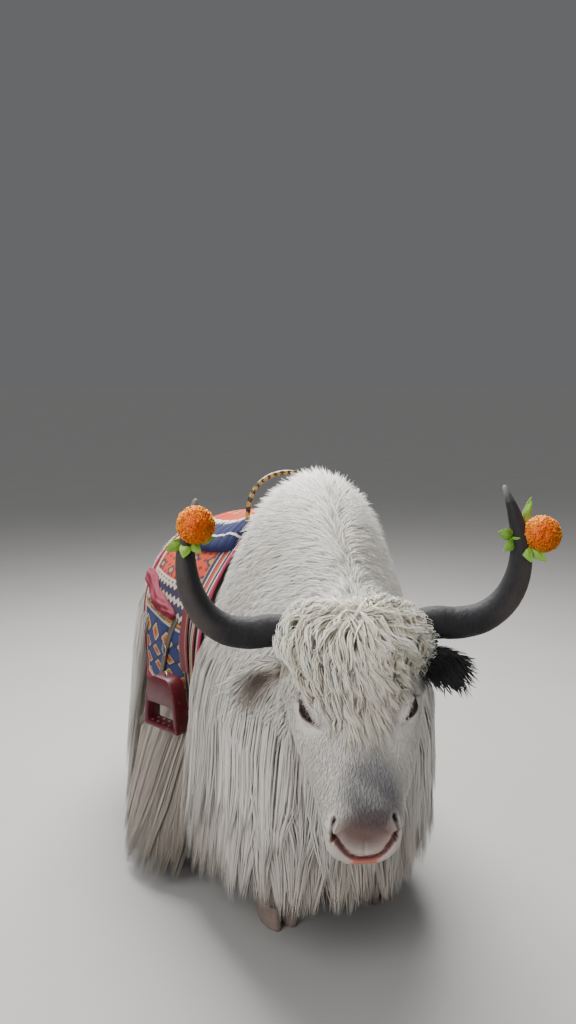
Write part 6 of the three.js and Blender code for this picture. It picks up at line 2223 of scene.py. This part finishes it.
class YAK_OT_straps(bpy.types.Operator):
    """The girth, the fenders, the stirrup straps and their buckles"""

    bl_idname = "yak.straps"
    bl_label = "Straps"

    def execute(self, context):
        for name, side in SIDES.items():
            make_strap("girth_" + name, side, GIRTH, "girth_webbing")
            make_strap("fender_" + name, side, FENDER, "fender_leather")
            make_strap("strap_" + name, side, LEATHER, "strap_leather")
            make_buckle("buckle_" + name, side, LEATHER, 0.3)
        return confirm(*both("girth_band", "fender_band", "strap_band", "buckle"))


class YAK_OT_stirrups(bpy.types.Operator):
    """Both wooden stirrups with their studs and rings"""

    bl_idname = "yak.stirrups"
    bl_label = "Stirrups"

    def execute(self, context):
        for name, side in SIDES.items():
            make_stirrup(name, side)
        return confirm(*both("stirrup_wood", "stirrup_studs"))


class YAK_OT_flowers(bpy.types.Operator):
    """The flowers and leaves at the tips of the horns"""

    bl_idname = "yak.flowers"
    bl_label = "Flowers"

    def execute(self, context):
        for name, side in SIDES.items():
            make_flower(name, 61 + side)
            make_spray(name)
        return confirm(*both("marigold", "heart", "spray", "tie"))


class YAK_OT_stage(bpy.types.Operator):
    """The floor, the lights and the camera"""

    bl_idname = "yak.stage"
    bl_label = "Stage"

    def execute(self, context):
        for name in ("Cube", "Light", "Camera"):
            if name in bpy.data.objects:
                bpy.data.objects.remove(bpy.data.objects[name])
        stage = context.scene.yak_stage
        make_camera(stage.lens)
        make_lights(stage.light)
        make_surroundings(stage.surround)
        make_floor(stage.floor)
        return confirm("view", "floor")


STEPS = (
    YAK_OT_skin, YAK_OT_short_coat, YAK_OT_long_coat, YAK_OT_tail, YAK_OT_forelock, YAK_OT_horns, YAK_OT_eyes,
    YAK_OT_hooves, YAK_OT_rug, YAK_OT_saddle, YAK_OT_sash, YAK_OT_straps, YAK_OT_stirrups, YAK_OT_flowers,
    YAK_OT_stage,
)
SETTINGS = {
    "yak_hide": YakHideSettings, "yak_coat": YakCoatSettings, "yak_gear": YakGearSettings,
    "yak_stage": YakStageSettings,
}


class YAK_PT_build(bpy.types.Panel):
    """The yak's settings and its pieces, in the order in which they are made"""

    bl_label = "Yak"
    bl_idname = "YAK_PT_build"
    bl_space_type = "VIEW_3D"
    bl_region_type = "UI"
    bl_category = "Yak"

    def draw(self, context):
        for group, kind in SETTINGS.items():
            box = self.layout.box()
            for name in kind.__annotations__:
                box.prop(getattr(context.scene, group), name)
        for step in STEPS:
            self.layout.operator(step.bl_idname)


def register():
    for kind in (*SETTINGS.values(), *STEPS, YAK_PT_build):
        bpy.utils.register_class(kind)
    for group, kind in SETTINGS.items():
        setattr(bpy.types.Scene, group, PointerProperty(type=kind))


def unregister():
    for group in SETTINGS:
        delattr(bpy.types.Scene, group)
    for kind in (YAK_PT_build, *reversed(STEPS), *reversed(SETTINGS.values())):
        bpy.utils.unregister_class(kind)


def main():
    register()
    for step in STEPS:
        getattr(bpy.ops.yak, step.bl_idname.split(".")[1])()


if __name__ == "__main__":
    main()
